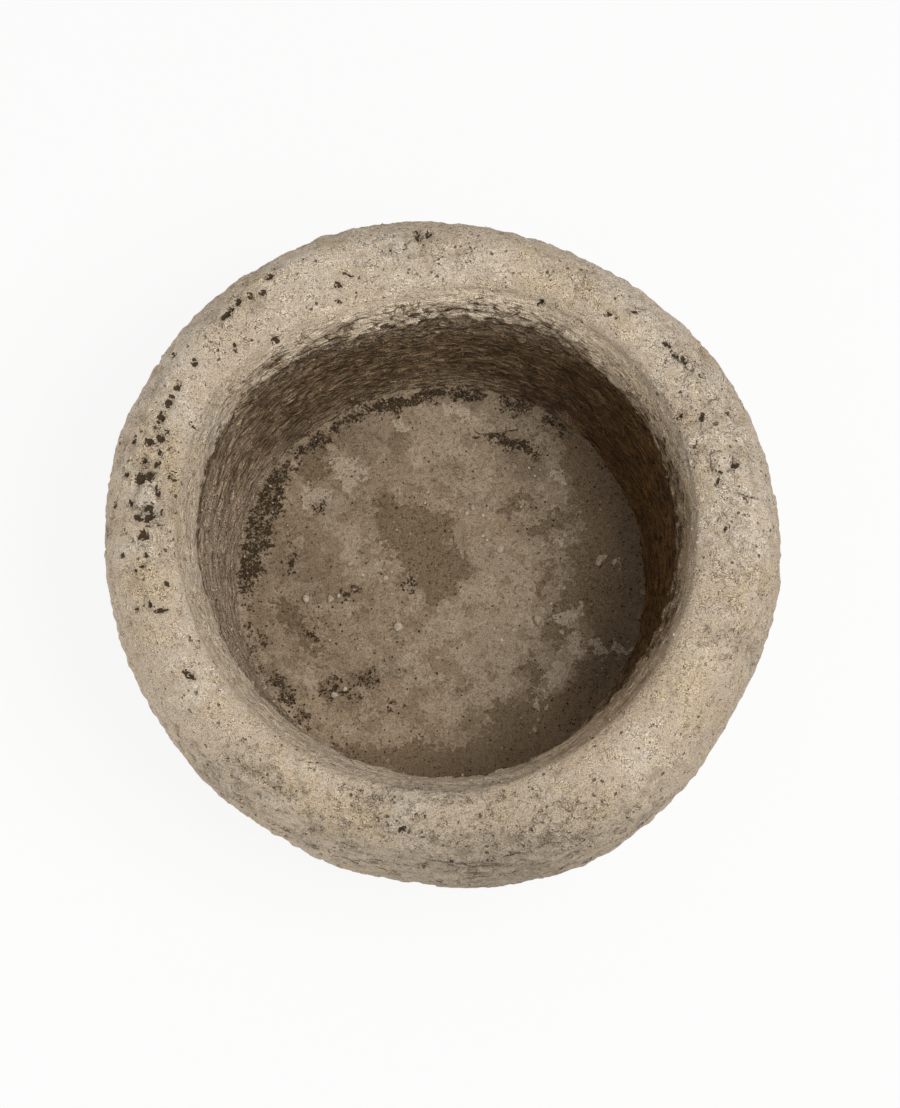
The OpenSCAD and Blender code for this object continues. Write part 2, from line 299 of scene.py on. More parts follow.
# Pale chips on the silt: photo x and y, and width in mm
CHIPS = (
    (529, 468, 2.4), (540, 470, 2.4), (535, 476, 2.6), (521, 507, 2.2), (488, 509, 2.2),
    (483, 515, 3.2), (483, 536, 2.8), (487, 540, 2.4), (494, 459, 2.0), (520, 460, 2.0),
    (386, 541, 2.6), (349, 533, 2.6), (397, 530, 2.2), (394, 522, 2.2), (400, 503, 2.4),
    (425, 503, 2.6), (363, 575, 2.8), (392, 572, 3.0), (434, 640, 3.8), (358, 649, 3.0),
    (330, 640, 2.8), (392, 594, 2.6), (407, 648, 2.6), (494, 629, 3.2), (498, 630, 3.0),
    (502, 640, 3.8), (495, 591, 2.2), (512, 579, 2.4), (538, 720, 4.0), (561, 650, 2.2),
    (502, 748, 2.2), (551, 604, 2.4), (562, 540, 4.4), (339, 596, 4.0), (467, 513, 5.0),
    (345, 689, 4.0),
)
# Loose crumbs on the floor: share of the bed's radius, angle and width in mm, as in the model
CRUMBS = (
    (0.33, 226, 9), (0.52, 336, 10), (0.70, 188, 7), (0.48, 170, 6), (0.40, 68, 6), (0.46, 100, 5),
    (0.66, 20, 6), (0.33, 28, 7), (0.58, 190, 8), (0.37, 149, 5), (0.29, 178, 5), (0.44, 324, 5),
    (0.80, 227, 8), (0.89, 301, 6),
)


def length_setting(name, description, default):
    """Setting of a length, in metres."""
    return FloatProperty(name=name, description=description, default=default, unit="LENGTH")


def colour_setting(name, description, default):
    """Setting of a colour."""
    return FloatVectorProperty(name=name, description=description, subtype="COLOR", size=3, default=default)


class TroughForm(PropertyGroup):
    """Main sizes of the block, as in its model."""

    belly_width: length_setting("Belly width", "Diameter of the outside at its widest", 0.570)
    belly_height: length_setting("Belly height", "Height of the widest level", 0.215)
    foot_width: length_setting("Foot width", "Diameter above the worn bottom edge", 0.476)
    foot_round: length_setting("Foot round", "Radius of the worn bottom edge", 0.026)
    foot_cut: length_setting("Foot cut", "Depth of that edge levelled off underneath", 0.006)
    crest_width: length_setting("Crest width", "Diameter of the ring along the top of the rim", 0.476)
    crest_dip: length_setting("Crest dip", "Depth of the lowest stretch of the rim", 0.003)
    neck_width: length_setting("Neck width", "Diameter at the top of the steep neck", 0.416)
    neck_drop: length_setting("Neck drop", "Depth of the neck's top below the crest", 0.016)
    mouth_width: length_setting("Mouth width", "Diameter of the lip", 0.389)
    lip_drop: length_setting("Lip drop", "Depth of the lip below the crest", 0.052)
    hollow_width: length_setting("Hollow width", "Widest diameter of the hollow", 0.406)
    hollow_drop: length_setting("Hollow drop", "Depth of the hollow's widest level", 0.094)
    floor_width: length_setting("Floor width", "Diameter between the feet of the wall", 0.380)
    cove: length_setting("Cove", "Radius of the corner between wall and floor", 0.030)
    around: IntProperty(name="Steps around", description="Columns of the stone's mesh", default=576, min=64)


class StoneLook(PropertyGroup):
    """Colours of the limestone, and the depth of its finest relief."""

    warm: colour_setting("Stone", "Main colour", (0.565, 0.460, 0.345))
    pale: colour_setting("Pale", "Smooth pale patches", (0.645, 0.56, 0.455))
    ochre: colour_setting("Ochre", "Yellow patches", (0.545, 0.425, 0.270))
    # Grey: soiled zones, partly painted shade under the front ledge, and the darker stretch over the front
    grey: colour_setting("Grey", "Dirty grey patches", (0.32, 0.26, 0.192))
    wall: colour_setting("Wall", "Stained wall of the hollow", (0.44, 0.318, 0.200))
    dust: colour_setting("Dust", "Dust on the wall's foot and left side", (0.515, 0.408, 0.300))
    # Soot: dark stains and painted shade under the lip and deep on the wall; also the colour of painted
    # shade in low places
    soot_and_shade: colour_setting("Soot", "Darkest stains of the wall", (0.135, 0.085, 0.042))
    # Crust: painted light, the back of the neck made paler where light falls on it
    neck_light: colour_setting("Crust", "Pale crust on the back of the neck", (0.83, 0.69, 0.52))
    # Stain: partly brown stain, partly painted shade on the right of the neck, which faces away from the
    # light
    stain_and_shade: colour_setting("Stain", "Brown stain on the right of the neck", (0.39, 0.275, 0.172))
    # Rust: brown stain and painted shade on the right of the wall, warmed like light bounced in the hollow
    rust_and_shade: colour_setting("Rust", "Brown stain of the wall on the right", (0.180, 0.094, 0.033))
    line: colour_setting("Line", "Hair lines of the wall and the flank", (0.080, 0.050, 0.026))
    # Pit: earth in the holes, and also the colour of painted shade in the rings round the high stones
    pit: colour_setting("Pit", "Earth in the holes", (0.084, 0.057, 0.034))
    depth: FloatProperty(
        name="Depth", description="Factor on the depth of the finest relief", default=1.0, min=0)


class SiltLook(PropertyGroup):
    """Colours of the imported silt, its grit and its chips."""

    dry: colour_setting("Dry", "Dry silt", (0.395, 0.302, 0.209))
    lime: colour_setting("Lime", "Lime-white patches", (0.575, 0.47, 0.35))
    # Damp: damp patches, and painted shadow over the right and front of the floor
    damp_and_shade: colour_setting("Damp", "Damp patches", (0.245, 0.178, 0.110))
    brown: colour_setting("Brown", "Brown stains", (0.30, 0.195, 0.105))
    chip: colour_setting("Chip", "Pale chips on the silt", (0.78, 0.70, 0.59))
    grit: colour_setting("Grit", "Black grit", (0.045, 0.032, 0.018))


class StageLook(PropertyGroup):
    """Light and ground."""

    key: FloatProperty(name="Key light", description="Power of the soft light from the right", default=40.0)
    side: FloatProperty(name="Side light", description="Power of the low light from the left", default=5.0)
    fill: FloatProperty(name="Fill light", description="Strength of the even light all round", default=0.50)
    ground: colour_setting("Ground", "Colour of the ground", (0.9, 0.9, 0.9))


def ease(t):
    """Slow start and slow end between 0 and 1."""
    return (1 - np.cos(np.pi * t)) / 2


def smooth(low, high, value):
    """Smooth step from 0 at low to 1 at high."""
    t = np.clip((value - low) / (high - low), 0, 1)
    return t * t * (3 - 2 * t)


def apart(a, b):
    """Distance in degrees between two angles."""
    return np.abs((a - b + 540) % 360 - 180)


def hump(a, b, span):
    """Round hump of height 1 over angle b, ending span degrees away on each side."""
    return ease(np.clip(1 - apart(a, b) / span, 0, 1))


def waves(swells, a):
    """Sum of whole waves around the turn, in metres."""
    return MM * sum(high * np.cos(np.radians(count * (a - crest))) for count, high, crest in swells)


def lumps(places, a):
    """Sum of local humps and flats, in metres."""
    return MM * sum(high * hump(a, middle, span) for middle, span, high in places)


def steps(count):
    """Steps from just above 0 up to 1."""
    return np.arange(1, count + 1) / count


def band(value, rise, full, fall, end):
    """Smooth band: up from 0 to 1 between rise and full, and down again between fall and end."""
    return smooth(rise, full, value) * smooth(end, fall, value)


def angle_of(points):
    """Angle of places about the upright axis, in degrees."""
    return np.degrees(np.arctan2(points[..., 1], points[..., 0]))


def radius_of(points):
    """Distance of places from the upright axis."""
    return np.hypot(points[..., 0], points[..., 1])


def laid_flat(plan):
    """Plan places as points in space at height 0."""
    return np.concatenate([plan, 0 * plan[..., :1]], -1)


def upward(count):
    """One upright direction for each of a number of places."""
    return np.tile((0, 0, 1.0), (count, 1))


def hashed(corner, seed):
    """Random 32-bit number for each whole-number corner, from a wrapping integer hash."""
    with np.errstate(over="ignore"):
        c = corner.astype(np.int64).astype(np.uint32)
        h = c[..., 0] * np.uint32(374761393) + c[..., 1] * np.uint32(668265263)
        h = h + c[..., 2] * np.uint32(2246822519) + np.uint32((seed * 3266489917) % 2**32)
        h = (h ^ (h >> np.uint32(15))) * np.uint32(2246822519)
        h = (h ^ (h >> np.uint32(13))) * np.uint32(3266489917)
        return h ^ (h >> np.uint32(16))


def three(h):
    """Three numbers from 0 to 1 out of each 32-bit one."""
    return np.stack([(h >> np.uint32(shift)) & np.uint32(1023) for shift in (0, 10, 20)], -1) / 1023.0


CORNERS = np.array([(x, y, z) for x in (0, 1) for y in (0, 1) for z in (0, 1)])
NEIGHBOURS = np.array([(x, y, z) for x in (-1, 0, 1) for y in (-1, 0, 1) for z in (-1, 0, 1)])


def noise(points, size, seed):
    """Gradient noise from about -1 to 1 with lumps of the given size: each corner of a cubic lattice has
    a random slope, and the slopes are blended with quintic weights."""
    p = points / size
    base = np.floor(p)
    part = p - base
    blend = part**3 * (part * (part * 6 - 15) + 10)
    total = np.zeros(p.shape[:-1])
    for corner in CORNERS:
        slope = three(hashed(base + corner, seed)) * 2 - 1
        weight = np.prod(np.where(corner == 1, blend, 1 - blend), -1)
        total += weight * np.sum(slope * (part - corner), -1)
    return total * 1.6


def layered(points, size, seed, layers):
    """Noise summed over layers, each half the size and half the height of the one before."""
    return sum(noise(points, size / 2**k, seed + 17 * k) / 2**k for k in range(layers))


def rounded(points, size, seed, layers):
    """Rounded lumps with sharp creases between them, from 0 in a crease to about 1: noise without its
    sign, summed over layers."""
    return sum(np.abs(noise(points, size / 2**k, seed + 17 * k)) / 2**k for k in range(layers))


def cells(points, size, seed):
    """Distance in cells to the nearest of one random point per lattice cube, and that point's own random
    number."""
    p = points / size
    base = np.floor(p)
    best = np.full(p.shape[:-1], 9.0)
    owner = np.zeros(p.shape[:-1])
    for step in NEIGHBOURS:
        at = base + step
        far = np.linalg.norm(p - at - three(hashed(at, seed)), axis=-1)
        nearer = far < best
        best = np.where(nearer, far, best)
        owner = np.where(nearer, hashed(at, seed + 93) / 2**32, owner)
    return best, owner


def stone_outline(form):
    """Rings of the stone from under the foot over the rim to the foot of the hollow's wall: radius,
    height, share of the mouth's swells, share of the outside's, and how far inside the crest. The
    stretches are those of the model: an arc, a quarter wave, two quarter ellipses, a straight neck, a
    quarter wave, an eased wall and an arc."""
    quarter = np.pi / 2
    lean = np.arctan(np.pi / 4 * (form.belly_width - form.foot_width)
                     / (form.belly_height - form.foot_round + form.foot_cut))
    foot_z = form.foot_round * (1 - np.sin(lean)) - form.foot_cut
    neck_z = HEIGHT - form.neck_drop
    lip_z = HEIGHT - form.lip_drop
    hollow_z = HEIGHT - form.hollow_drop
    cove_z = FLOOR_Z + form.cove
    a = np.radians(-90) + (np.radians(90) - lean) * np.arange(RINGS["foot"] + 1) / RINGS["foot"]
    foot = (form.foot_width / 2 + form.foot_round * (np.cos(a) - np.cos(lean)),
            form.foot_round - form.foot_cut + form.foot_round * np.sin(a), 0, 1, 0)
    t = steps(RINGS["side"])
    side = ((form.foot_width + (form.belly_width - form.foot_width) * np.sin(quarter * t)) / 2,
            foot_z + (form.belly_height - foot_z) * t, 0, 1, 0)
    t = steps(RINGS["rim"])
    rim = ((form.crest_width + (form.belly_width - form.crest_width) * np.cos(quarter * t)) / 2,
           form.belly_height + (HEIGHT - form.belly_height) * np.sin(quarter * t), 0, 1, 0)
    t = steps(RINGS["shoulder"])
    shoulder = ((form.crest_width - (form.crest_width - form.neck_width) * np.sin(quarter * t)) / 2,
                neck_z + form.neck_drop * np.cos(quarter * t), ease(t), 1 - ease(t), t)
    t = steps(RINGS["neck"])
    neck = ((form.neck_width + (form.mouth_width - form.neck_width) * t) / 2,
            neck_z + (lip_z - neck_z) * t, 1, 0, 1)
    t = steps(RINGS["lip"])
    lip = ((form.mouth_width + (form.hollow_width - form.mouth_width) * np.sin(quarter * t)) / 2,
           lip_z + (hollow_z - lip_z) * t, 1, 0, 1)
    t = steps(RINGS["wall"])
    wall = ((form.hollow_width + (form.floor_width - form.hollow_width) * ease(t)) / 2,
            hollow_z + (cove_z - hollow_z) * t, 1 - (1 - FOOT_SHARE) * t, 0, 1)
    a = np.radians(90) * steps(RINGS["cove"])
    cove = (form.floor_width / 2 - form.cove + form.cove * np.cos(a), cove_z - form.cove * np.sin(a),
            FOOT_SHARE, 0, 1)
    stretches = [np.broadcast_arrays(*each) for each in (foot, side, rim, shoulder, neck, lip, wall, cove)]
    return [np.concatenate(values) for values in zip(*stretches)]


def out_of_round(a):
    """How far the outside and the mouth stand out of round at an angle, in metres."""
    return (waves(OUTSIDE_SWELLS, a) + lumps(OUTSIDE_LUMPS, a),
            waves(MOUTH_SWELLS, a) + lumps(MOUTH_LUMPS, a))


def ledge(a, z):
    """Broken ledge at the front: the rim stands out above its edge and is broken back below it."""
    edge = HEIGHT - LEDGE_DROP
    above = LEDGE_OUT * (HEIGHT - z) / LEDGE_DROP
    below = -LEDGE_BACK * np.clip(1 - (edge - z) / LEDGE_BACK_HEIGHT, 0, 1)
    return hump(a, LEDGE_ANGLE, LEDGE_SPAN) * np.where(z > edge, above, below)


def base_surface(form):
    """Grid of points of the smooth form, rings by columns: each ring is a circle with its share of
    swells. Also how far inside the crest each point is, and its place drawn out four to six times
    along the turn."""
    radius, height, mouth_share, outside_share, inside = (v[:, None] for v in stone_outline(form))
    a = np.arange(form.around)[None, :] * 360 / form.around
    outside, mouth = out_of_round(a)
    r = radius + outside_share * (outside + ledge(a, height)) + mouth_share * mouth
    lip_z = HEIGHT - form.lip_drop
    risen = ease(np.clip((height - lip_z) / form.lip_drop, 0, 1))
    sunk = form.crest_dip * risen * ease(1 - apart(a, DIP_ANGLE) / 180)
    turn = np.radians(a)
    grid = np.stack([r * np.cos(turn), r * np.sin(turn), height - sunk + 0 * a], -1)
    rise = np.diff(height, axis=0, prepend=0)
    run = np.cumsum(np.hypot(np.diff(radius, axis=0, prepend=0), rise), axis=0)
    drawn = np.stack([DRAWN_RADIUS * np.cos(turn) + 0 * run, DRAWN_RADIUS * np.sin(turn) + 0 * run,
                      run + 0 * a], -1)
    return grid, inside + 0 * a, drawn


def surface_normals(grid):
    """Outward normals of a grid that closes along its second axis: cross product of its two slopes."""
    along = np.gradient(grid, axis=0)
    around = np.roll(grid, -1, 1) - np.roll(grid, 1, 1)
    n = np.cross(around, along)
    return n / np.maximum(np.linalg.norm(n, axis=-1, keepdims=True), 1e-9)


def camera_axes():
    """Directions to the right, up and ahead in the photograph, with +Y up in the picture."""
    ahead = (CAMERA_AIM - CAMERA_PLACE).normalized()
    right = ahead.cross(Vector((0, 1, 0))).normalized()
    return right, right.cross(ahead), ahead


def photo_rays(spots):
    """Directions from the camera through photo pixels."""
    right, up, ahead = (np.array(axis) for axis in camera_axes())
    x, y = spots[:, :1] - PHOTO_WIDTH / 2, spots[:, 1:2] - PHOTO_HEIGHT / 2
    ray = FOCAL_PIXELS * ahead + x * right - y * up
    return ray / np.linalg.norm(ray, axis=1, keepdims=True)


def landing(form, marks):
    """Places in space that show at the photo pixels of some marks: each ray from the camera is followed
    down until it is between the smooth hollow and the smooth outside, or reaches the silt."""
    spots = np.array([mark[:2] for mark in marks], float)
    rays = photo_rays(spots)
    z = np.linspace(HEIGHT, BED_Z, RAY_STEPS)
    reach = (z[None, :] - CAMERA_PLACE.z) / rays[:, 2:3]
    path = np.array(CAMERA_PLACE) + reach[..., None] * rays[:, None, :]
    radius, height, mouth_share, outside_share, inside = stone_outline(form)
    out = inside == 0
    outside, mouth = out_of_round(angle_of(path))
    far = np.interp(z, height[out], radius[out]) + outside
    inner = height[~out][::-1]
    near_radius, near_mouth, near_outside = (
        np.interp(z, inner, values[~out][::-1]) for values in (radius, mouth_share, outside_share))
    near = near_radius + near_mouth * mouth + near_outside * outside
    r = radius_of(path)
    solid = (r >= near) & (r <= far)
    solid[:, -1] = True
    return path[np.arange(len(marks)), solid.argmax(1)]


def patch_field(form, marks, plan, seed, waver):
    """Field of a list of marks over plan places: roughly the distance in mm inside the nearest mark's
    edge, negative outside, with the edges made uneven by noise of the given height in metres."""
    flat = laid_flat(plan)
    shift = [noise(flat, 0.014, seed + k) + 0.5 * noise(flat, 0.005, seed + 7 + k) for k in (0, 50)]
    moved = plan + waver * np.stack(shift, -1)
    total = np.full(plan.shape[:-1], FIELD_LOW)
    for (_, _, length, width, turn), middle in zip(marks, landing(form, marks)):
        d = (moved - middle[:2]) / MM
        c, s = np.cos(np.radians(turn)), np.sin(np.radians(turn))
        along = np.abs(d[..., 0] * c + d[..., 1] * s)
        across = np.abs(d[..., 1] * c - d[..., 0] * s)
        share = np.hypot(along / (length / 2), across / (width / 2))
        far = np.hypot(np.maximum(along - length / 2, 0), np.maximum(across - width / 2, 0))
        inner = (1 - share) * min(length, width) / 2
        outer = np.maximum(inner, FIELD_LOW) * 0.5 - far * 0.5
        total = np.maximum(total, np.where(share < 1, inner, outer))
    return total


def depth_inside(points, corners):
    """Distance from plan points to a closed outline of straight edges, positive inside: the least
    distance to an edge, with its sign from counting the edges to the right."""
    start, end = corners, np.roll(corners, -1, 0)
    run = end - start
    away = points[:, None, :] - start
    t = np.clip((away * run).sum(-1) / (run**2).sum(-1), 0, 1)
    far = np.linalg.norm(away - t[..., None] * run, axis=-1).min(-1)
    y = points[:, None, 1]
    level = (start[:, 1] > y) != (end[:, 1] > y)
    rise = np.where(run[:, 1] == 0, 1, run[:, 1])
    right = points[:, None, 0] < start[:, 0] + (y - start[:, 1]) * run[:, 0] / rise
    return np.where((level & right).sum(-1) % 2 == 1, far, -far)


def outline_field(form, outlines, plan, seed, waver):
    """Field of a list of outlines over plan places: the distance in mm inside the nearest outline,
    negative outside, with the edges made uneven by layered noise of the given height in metres."""
    flat = laid_flat(plan)
    shift = np.stack([layered(flat, 0.020, seed + k, 3) for k in (0, 50)], -1)
    moved = (plan + waver * shift).reshape(-1, 2)
    reach = -MM * FIELD_LOW
    total = np.full(len(moved), -reach)
    for outline in outlines:
        corners = landing(form, outline)[:, :2]
        near = ((moved > corners.min(0) - reach) & (moved < corners.max(0) + reach)).all(1)
        total[near] = np.maximum(total[near], depth_inside(moved[near], corners))
    return total.reshape(plan.shape[:-1]) / MM


def grid_faces(rings, columns):
    """Quads between rings of a grid that closes along its second axis."""
    k, i = np.meshgrid(np.arange(rings - 1), np.arange(columns), indexing="ij")
    a = k * columns + i
    b = k * columns + (i + 1) % columns
    return np.stack([a, b, b + columns, a + columns], -1).reshape(-1, 4)


def pole_fans(rings, columns):
    """Triangles that close both ends of such a grid, to one point before its first ring and one past its
    last. These two points follow the grid's own."""
    i = np.arange(columns)
    j = (i + 1) % columns
    last = (rings - 1) * columns
    pole = 0 * i + rings * columns
    return np.concatenate([np.stack([j, i, pole], -1), np.stack([last + i, last + j, pole + 1], -1)])


def make_mesh(name, points, quads, triangles, fields=None, smooth_shaded=True):
    """Object at the origin from arrays of points and faces, with one attribute for each field."""
    mesh = bpy.data.meshes.new(name)
    corners = np.concatenate([quads.ravel(), triangles.ravel()]).astype(np.int32)
    starts = np.concatenate([np.arange(len(quads)) * 4, len(quads) * 4 + np.arange(len(triangles)) * 3])
    mesh.vertices.add(len(points))
    mesh.vertices.foreach_set("co", points.astype(np.float32).ravel())
    mesh.loops.add(len(corners))
    mesh.loops.foreach_set("vertex_index", corners)
    mesh.polygons.add(len(starts))
    mesh.polygons.foreach_set("loop_start", starts.astype(np.int32))
    mesh.update(calc_edges=True)
    mesh.polygons.foreach_set("use_smooth", np.full(len(starts), smooth_shaded))
    for field, values in (fields or {}).items():
        kind, key = ("FLOAT_VECTOR", "vector") if values.ndim == 2 else ("FLOAT", "value")
        attribute = mesh.attributes.new(field, kind, "POINT")
        attribute.data.foreach_set(key, values.astype(np.float32).ravel())
    piece = bpy.data.objects.new(name, mesh)
    bpy.context.scene.collection.objects.link(piece)
    return piece


def stone_fields(form, grid, inside):
    """Masks of the stone, one value a point. On the rim: open holes and ochre, pale, soiled and broken
    zones, the soiled ones partly painted shade under the front ledge. In the mouth: the crumbling lip,
    the neck with painted light at its back and painted shade on its right, and the wall with dust, brown
    discolouring and painted shade on the right, and dark discolouring and painted shade under the lip
    and deep down. Outside: darker over the front, and the flank under the rim there. Last, an uneven tone."""
    a = angle_of(grid) % 360
    depth = HEIGHT - grid[..., 2]
    rows = (depth < 0.12).any(1)
    rim = {"vug": (VUGS, 211, 0.0015), "ochre": (OCHRE, 223, 0.012), "pale": (PALE, 227, 0.012),
           "dirt_and_shade": (DIRT_AND_SHADE, 229, 0.010), "broken": (BROKEN, 233, 0.012)}
    fields = {}
    for name, (marks, seed, waver) in rim.items():
        fields[name] = np.full(depth.shape, FIELD_LOW)
        fields[name][rows] = patch_field(form, marks, grid[rows][..., :2], seed, waver)
    ragged = layered(grid, 0.024, 301, 3)
    back, right = hump(a, 95, 88), hump(a, 352, 55)
    fields["crumble"] = (inside * band(depth, 0.020, 0.040, 0.085, 0.130)
                         * np.clip(1.2 * back + 0.8 * right, 0, 1))
    start = 0.045 - 0.011 * back - 0.024 * right - 0.006 * hump(a, 166, 34) + 0.014 * hump(a, 76, 14)
    end = 0.055 + 0.010 * back
    late = depth + 0.010 * ragged * (0.25 + fields["crumble"])
    fields["wall"] = inside * smooth(start, end, late)
    fields["neck"] = inside * smooth(0.012, 0.03, depth) * (1 - fields["wall"])
    # Painted light: the back of the neck made paler where light falls on it
    fields["neck_light"] = inside * smooth(0.004, 0.020, depth) * np.clip(1.3 * hump(a, 88, 78), 0, 1)
    # Partly brown stain, partly painted shade: the right of the neck, which faces away from the light
    fields["stain_and_shade"] = inside * np.clip(1.2 * smooth(0.014, 0.034, depth) * hump(a, 356, 74)
                                       + 0.75 * smooth(0.001, 0.008, depth) * hump(a, 312, 42), 0, 1)
    # Brown stain and painted shade on the right of the wall, which faces away from the light
    fields["rust_and_shade"] = inside * smooth(0.054, 0.082, depth) * np.clip(1.3 * hump(a, 4, 70), 0, 1)
    # Darker over the outer front of the rim
    fields["front_darkening"] = smooth(0.205, 0.255, radius_of(grid)) * hump(a, 280, 34)
    fields["flank"] = ((1 - np.sign(inside)) * band(depth, 0.018, 0.050, 0.080, 0.150)
                       * (0.25 + 0.75 * hump(a, 262, 70)))
    # Dark stains and painted shade: just under the overhanging lip on the right and left, and deep down on
    # the right and back
    edge = band(depth, 0.033, 0.041, 0.045, 0.052) + 0.85 * smooth(0.056, 0.085, depth)
    soot_and_shade = (1.2 * edge * hump(a, 8, 58)
            + smooth(0.085, 0.145, depth) * hump(a, 45, 75)
            + 0.7 * smooth(0.072, 0.110, depth) * hump(a, 122, 46)
            + 0.5 * smooth(0.055, 0.085, depth) * hump(a, 36, 34)
            + 0.8 * band(depth, 0.040, 0.050, 0.056, 0.080) * hump(a, 172, 60)
            + 0.5 * band(depth, 0.046, 0.056, 0.105, 0.130) * hump(a, 163, 26))
    fields["soot_and_shade"] = inside * np.clip(soot_and_shade, 0, 1)
    foot = smooth(FLOOR_Z + 0.080, FLOOR_Z + 0.024, grid[..., 2])
    fields["dust"] = fields["wall"] * np.clip(1.1 * hump(a, 195, 80) + 0.45 * foot + 0.4 * ragged, 0, 1)
    fields["tone"] = layered(grid, 0.045, 401, 4)
    return fields


def clasts(form, grid):
    """Stones that stand in the rim, in mm: low domes, each the root of 1 less its share of the reach
    squared, with a groove round it. Also the distance in mm outside the edge of the nearest ringed
    one."""
    relief = np.zeros(grid.shape[:-1])
    outside = np.full(grid.shape[:-1], -FIELD_LOW)
    uneven = 1 + 0.38 * noise(grid, 0.009, 81)
    for (_, _, width, high), middle in zip(CLASTS, landing(form, CLASTS)):
        share = np.linalg.norm(grid - middle, axis=-1) / (MM * width / 2) * uneven
        dome = np.sqrt(np.clip(1 - share**2, 0, 1))
        groove = np.exp(-((share - 1.15) / 0.2) ** 2)
        relief += high * (1.3 * dome - 0.8 * groove)
        if high > RINGED_HEIGHT:
            outside = np.minimum(outside, (share - 1.05) * width / 2)
    return relief, outside


def stone_relief(grid, drawn, fields, stones):
    """Height in metres of the worked and weathered surface over the smooth form: broad dressing; lumps,
    domes and grooves in the broken zones; grit in layers, with nicks round the widest part; small pits in
    random cells; strokes drawn along the turn on the neck; a rough wall with level ledges; a crumbling
    lip, built out a little at the back; and the open holes. Also how low each point lies."""
    a = angle_of(grid) % 360
    r = radius_of(grid)
    z = grid[..., 2]
    depth = HEIGHT - z
    wall, crumble, neck, dust = (fields[name] for name in ("wall", "crumble", "neck", "dust"))
    outer = smooth(0.250, 0.268, r)
    plain = 1 - 0.45 * neck
    broad = 1.2 * layered(grid, 0.085, 3, 2) + 0.7 * noise(grid, 0.030, 11) * plain
    broken = smooth(-9, 9, fields["broken"] + 7 * noise(grid, 0.03, 19))
    far, owner = cells(grid + 0.003 * noise(grid, 0.010, 5)[..., None], 0.015, 37)
    domes = np.sqrt(np.clip(1 - (far / 0.62) ** 2, 0, 1)) * (owner > 0.35)
    grooves = smooth(0.10, 0.0, np.abs(noise(grid, 0.022, 47))) * smooth(0.05, 0.35, noise(grid, 0.045, 49))
    lumpy = broken * (2.0 * domes - 0.6 - 1.3 * grooves + 0.8 * layered(grid, 0.013, 31, 2)) * plain
    nicks = -3.0 * outer * smooth(0.26, 0.50, noise(grid, 0.015, 25))
    grit = (0.40 + 1.45 * outer) * layered(grid, 0.0115, 23, 2) * plain + nicks
    far, owner = cells(grid + 0.0015 * noise(grid, 0.006, 5)[..., None], 0.010, 41)
    pits = -1.4 * smooth(0.46, 0.16, far) * (owner > 0.84 - 0.14 * broken)
    stroked = np.clip(neck + 0.5 * wall * (1 - 0.7 * dust), 0, 1)
    strokes = 1.1 * layered(drawn, 0.011, 57, 2) * stroked
    rough = wall * (1 - 0.45 * dust) * (2.8 * rounded(grid * (1, 1, 0.9), 0.014, 61, 3) - 1.5)
    crumbs = crumble * (2.2 * rounded(drawn, 0.010, 71, 2) - 1.0)
    course = (z / 0.0115 + 1.3 * layered(drawn, 0.013, 83, 3)) % 1
    shelf = band(course, 0.0, 0.75, 0.78, 1.0) - 0.45
    shelved = (2.6 * crumble + 1.3 * wall * (1 - 0.5 * dust)) * smooth(-0.3, 0.2, noise(drawn, 0.02, 89))
    at_back = hump(a, 80, 80) * (grid[..., 1] > -0.1) * (r < 0.225)
    fill = 2 * smooth(0.018, 0.050, depth) + 2 * smooth(0.055, 0.094, depth)
    fill = fill * smooth(0.240, 0.110, depth) * at_back
    holes = -5.0 * smooth(-1.0, 0.9, fields["vug"])
    local = lumpy + grit + pits + strokes + rough + crumbs + stones
    height = broad + local + shelf * shelved + fill + holes - 0.9
    # Low places, which the stone's colour darkens as painted shade
    low = smooth(0.0, -1.7, local - 0.8 * nicks)
    return MM * height * smooth(0.0, 0.02, z), low


def build_stone(form):
    """The carved block: the smooth form pushed along its normals by the relief, then closed by two
    fans."""
    grid, inside, drawn = base_surface(form)
    fields = stone_fields(form, grid, inside)
    normals = surface_normals(grid)
    stones, fields["clast"] = clasts(form, grid)
    relief, fields["low"] = stone_relief(grid, drawn, fields, stones)
    grid = grid + normals * relief[..., None]
    grid = np.clip(grid, np.array(STONE_LOW) + SKIN_GAP, np.array(STONE_HIGH) - SKIN_GAP)
    grid[..., 2] = np.maximum(grid[..., 2], 0)
    rings, columns = grid.shape[:2]
    points = np.concatenate([grid.reshape(-1, 3), [[0, 0, 0.0]], [[0, 0, FLOOR_Z]]])
    padded = {name: np.append(values.ravel(), (0, 0)) for name, values in fields.items()}
    padded["drawn"] = np.concatenate([drawn.reshape(-1, 3), np.zeros((2, 3))])
    faces = grid_faces(rings, columns), pole_fans(rings, columns)
    piece = make_mesh("carved_stone", points, *faces, padded)
    return piece, grid, surface_normals(grid), drawn, fields


def ball(rings, columns):
    """Directions of a coarse ball with closed poles, and its quads and triangles."""
    up = np.pi * (np.arange(rings) + 1) / (rings + 1)
    turn = 2 * np.pi * np.arange(columns) / columns
    side = np.stack([np.sin(up)[:, None] * np.cos(turn), np.sin(up)[:, None] * np.sin(turn),
                     -np.cos(up)[:, None] + 0 * turn], -1).reshape(-1, 3)
    directions = np.concatenate([side, [[0, 0, -1.0]], [[0, 0, 1.0]]])
    return directions, grid_faces(rings, columns), pole_fans(rings, columns)


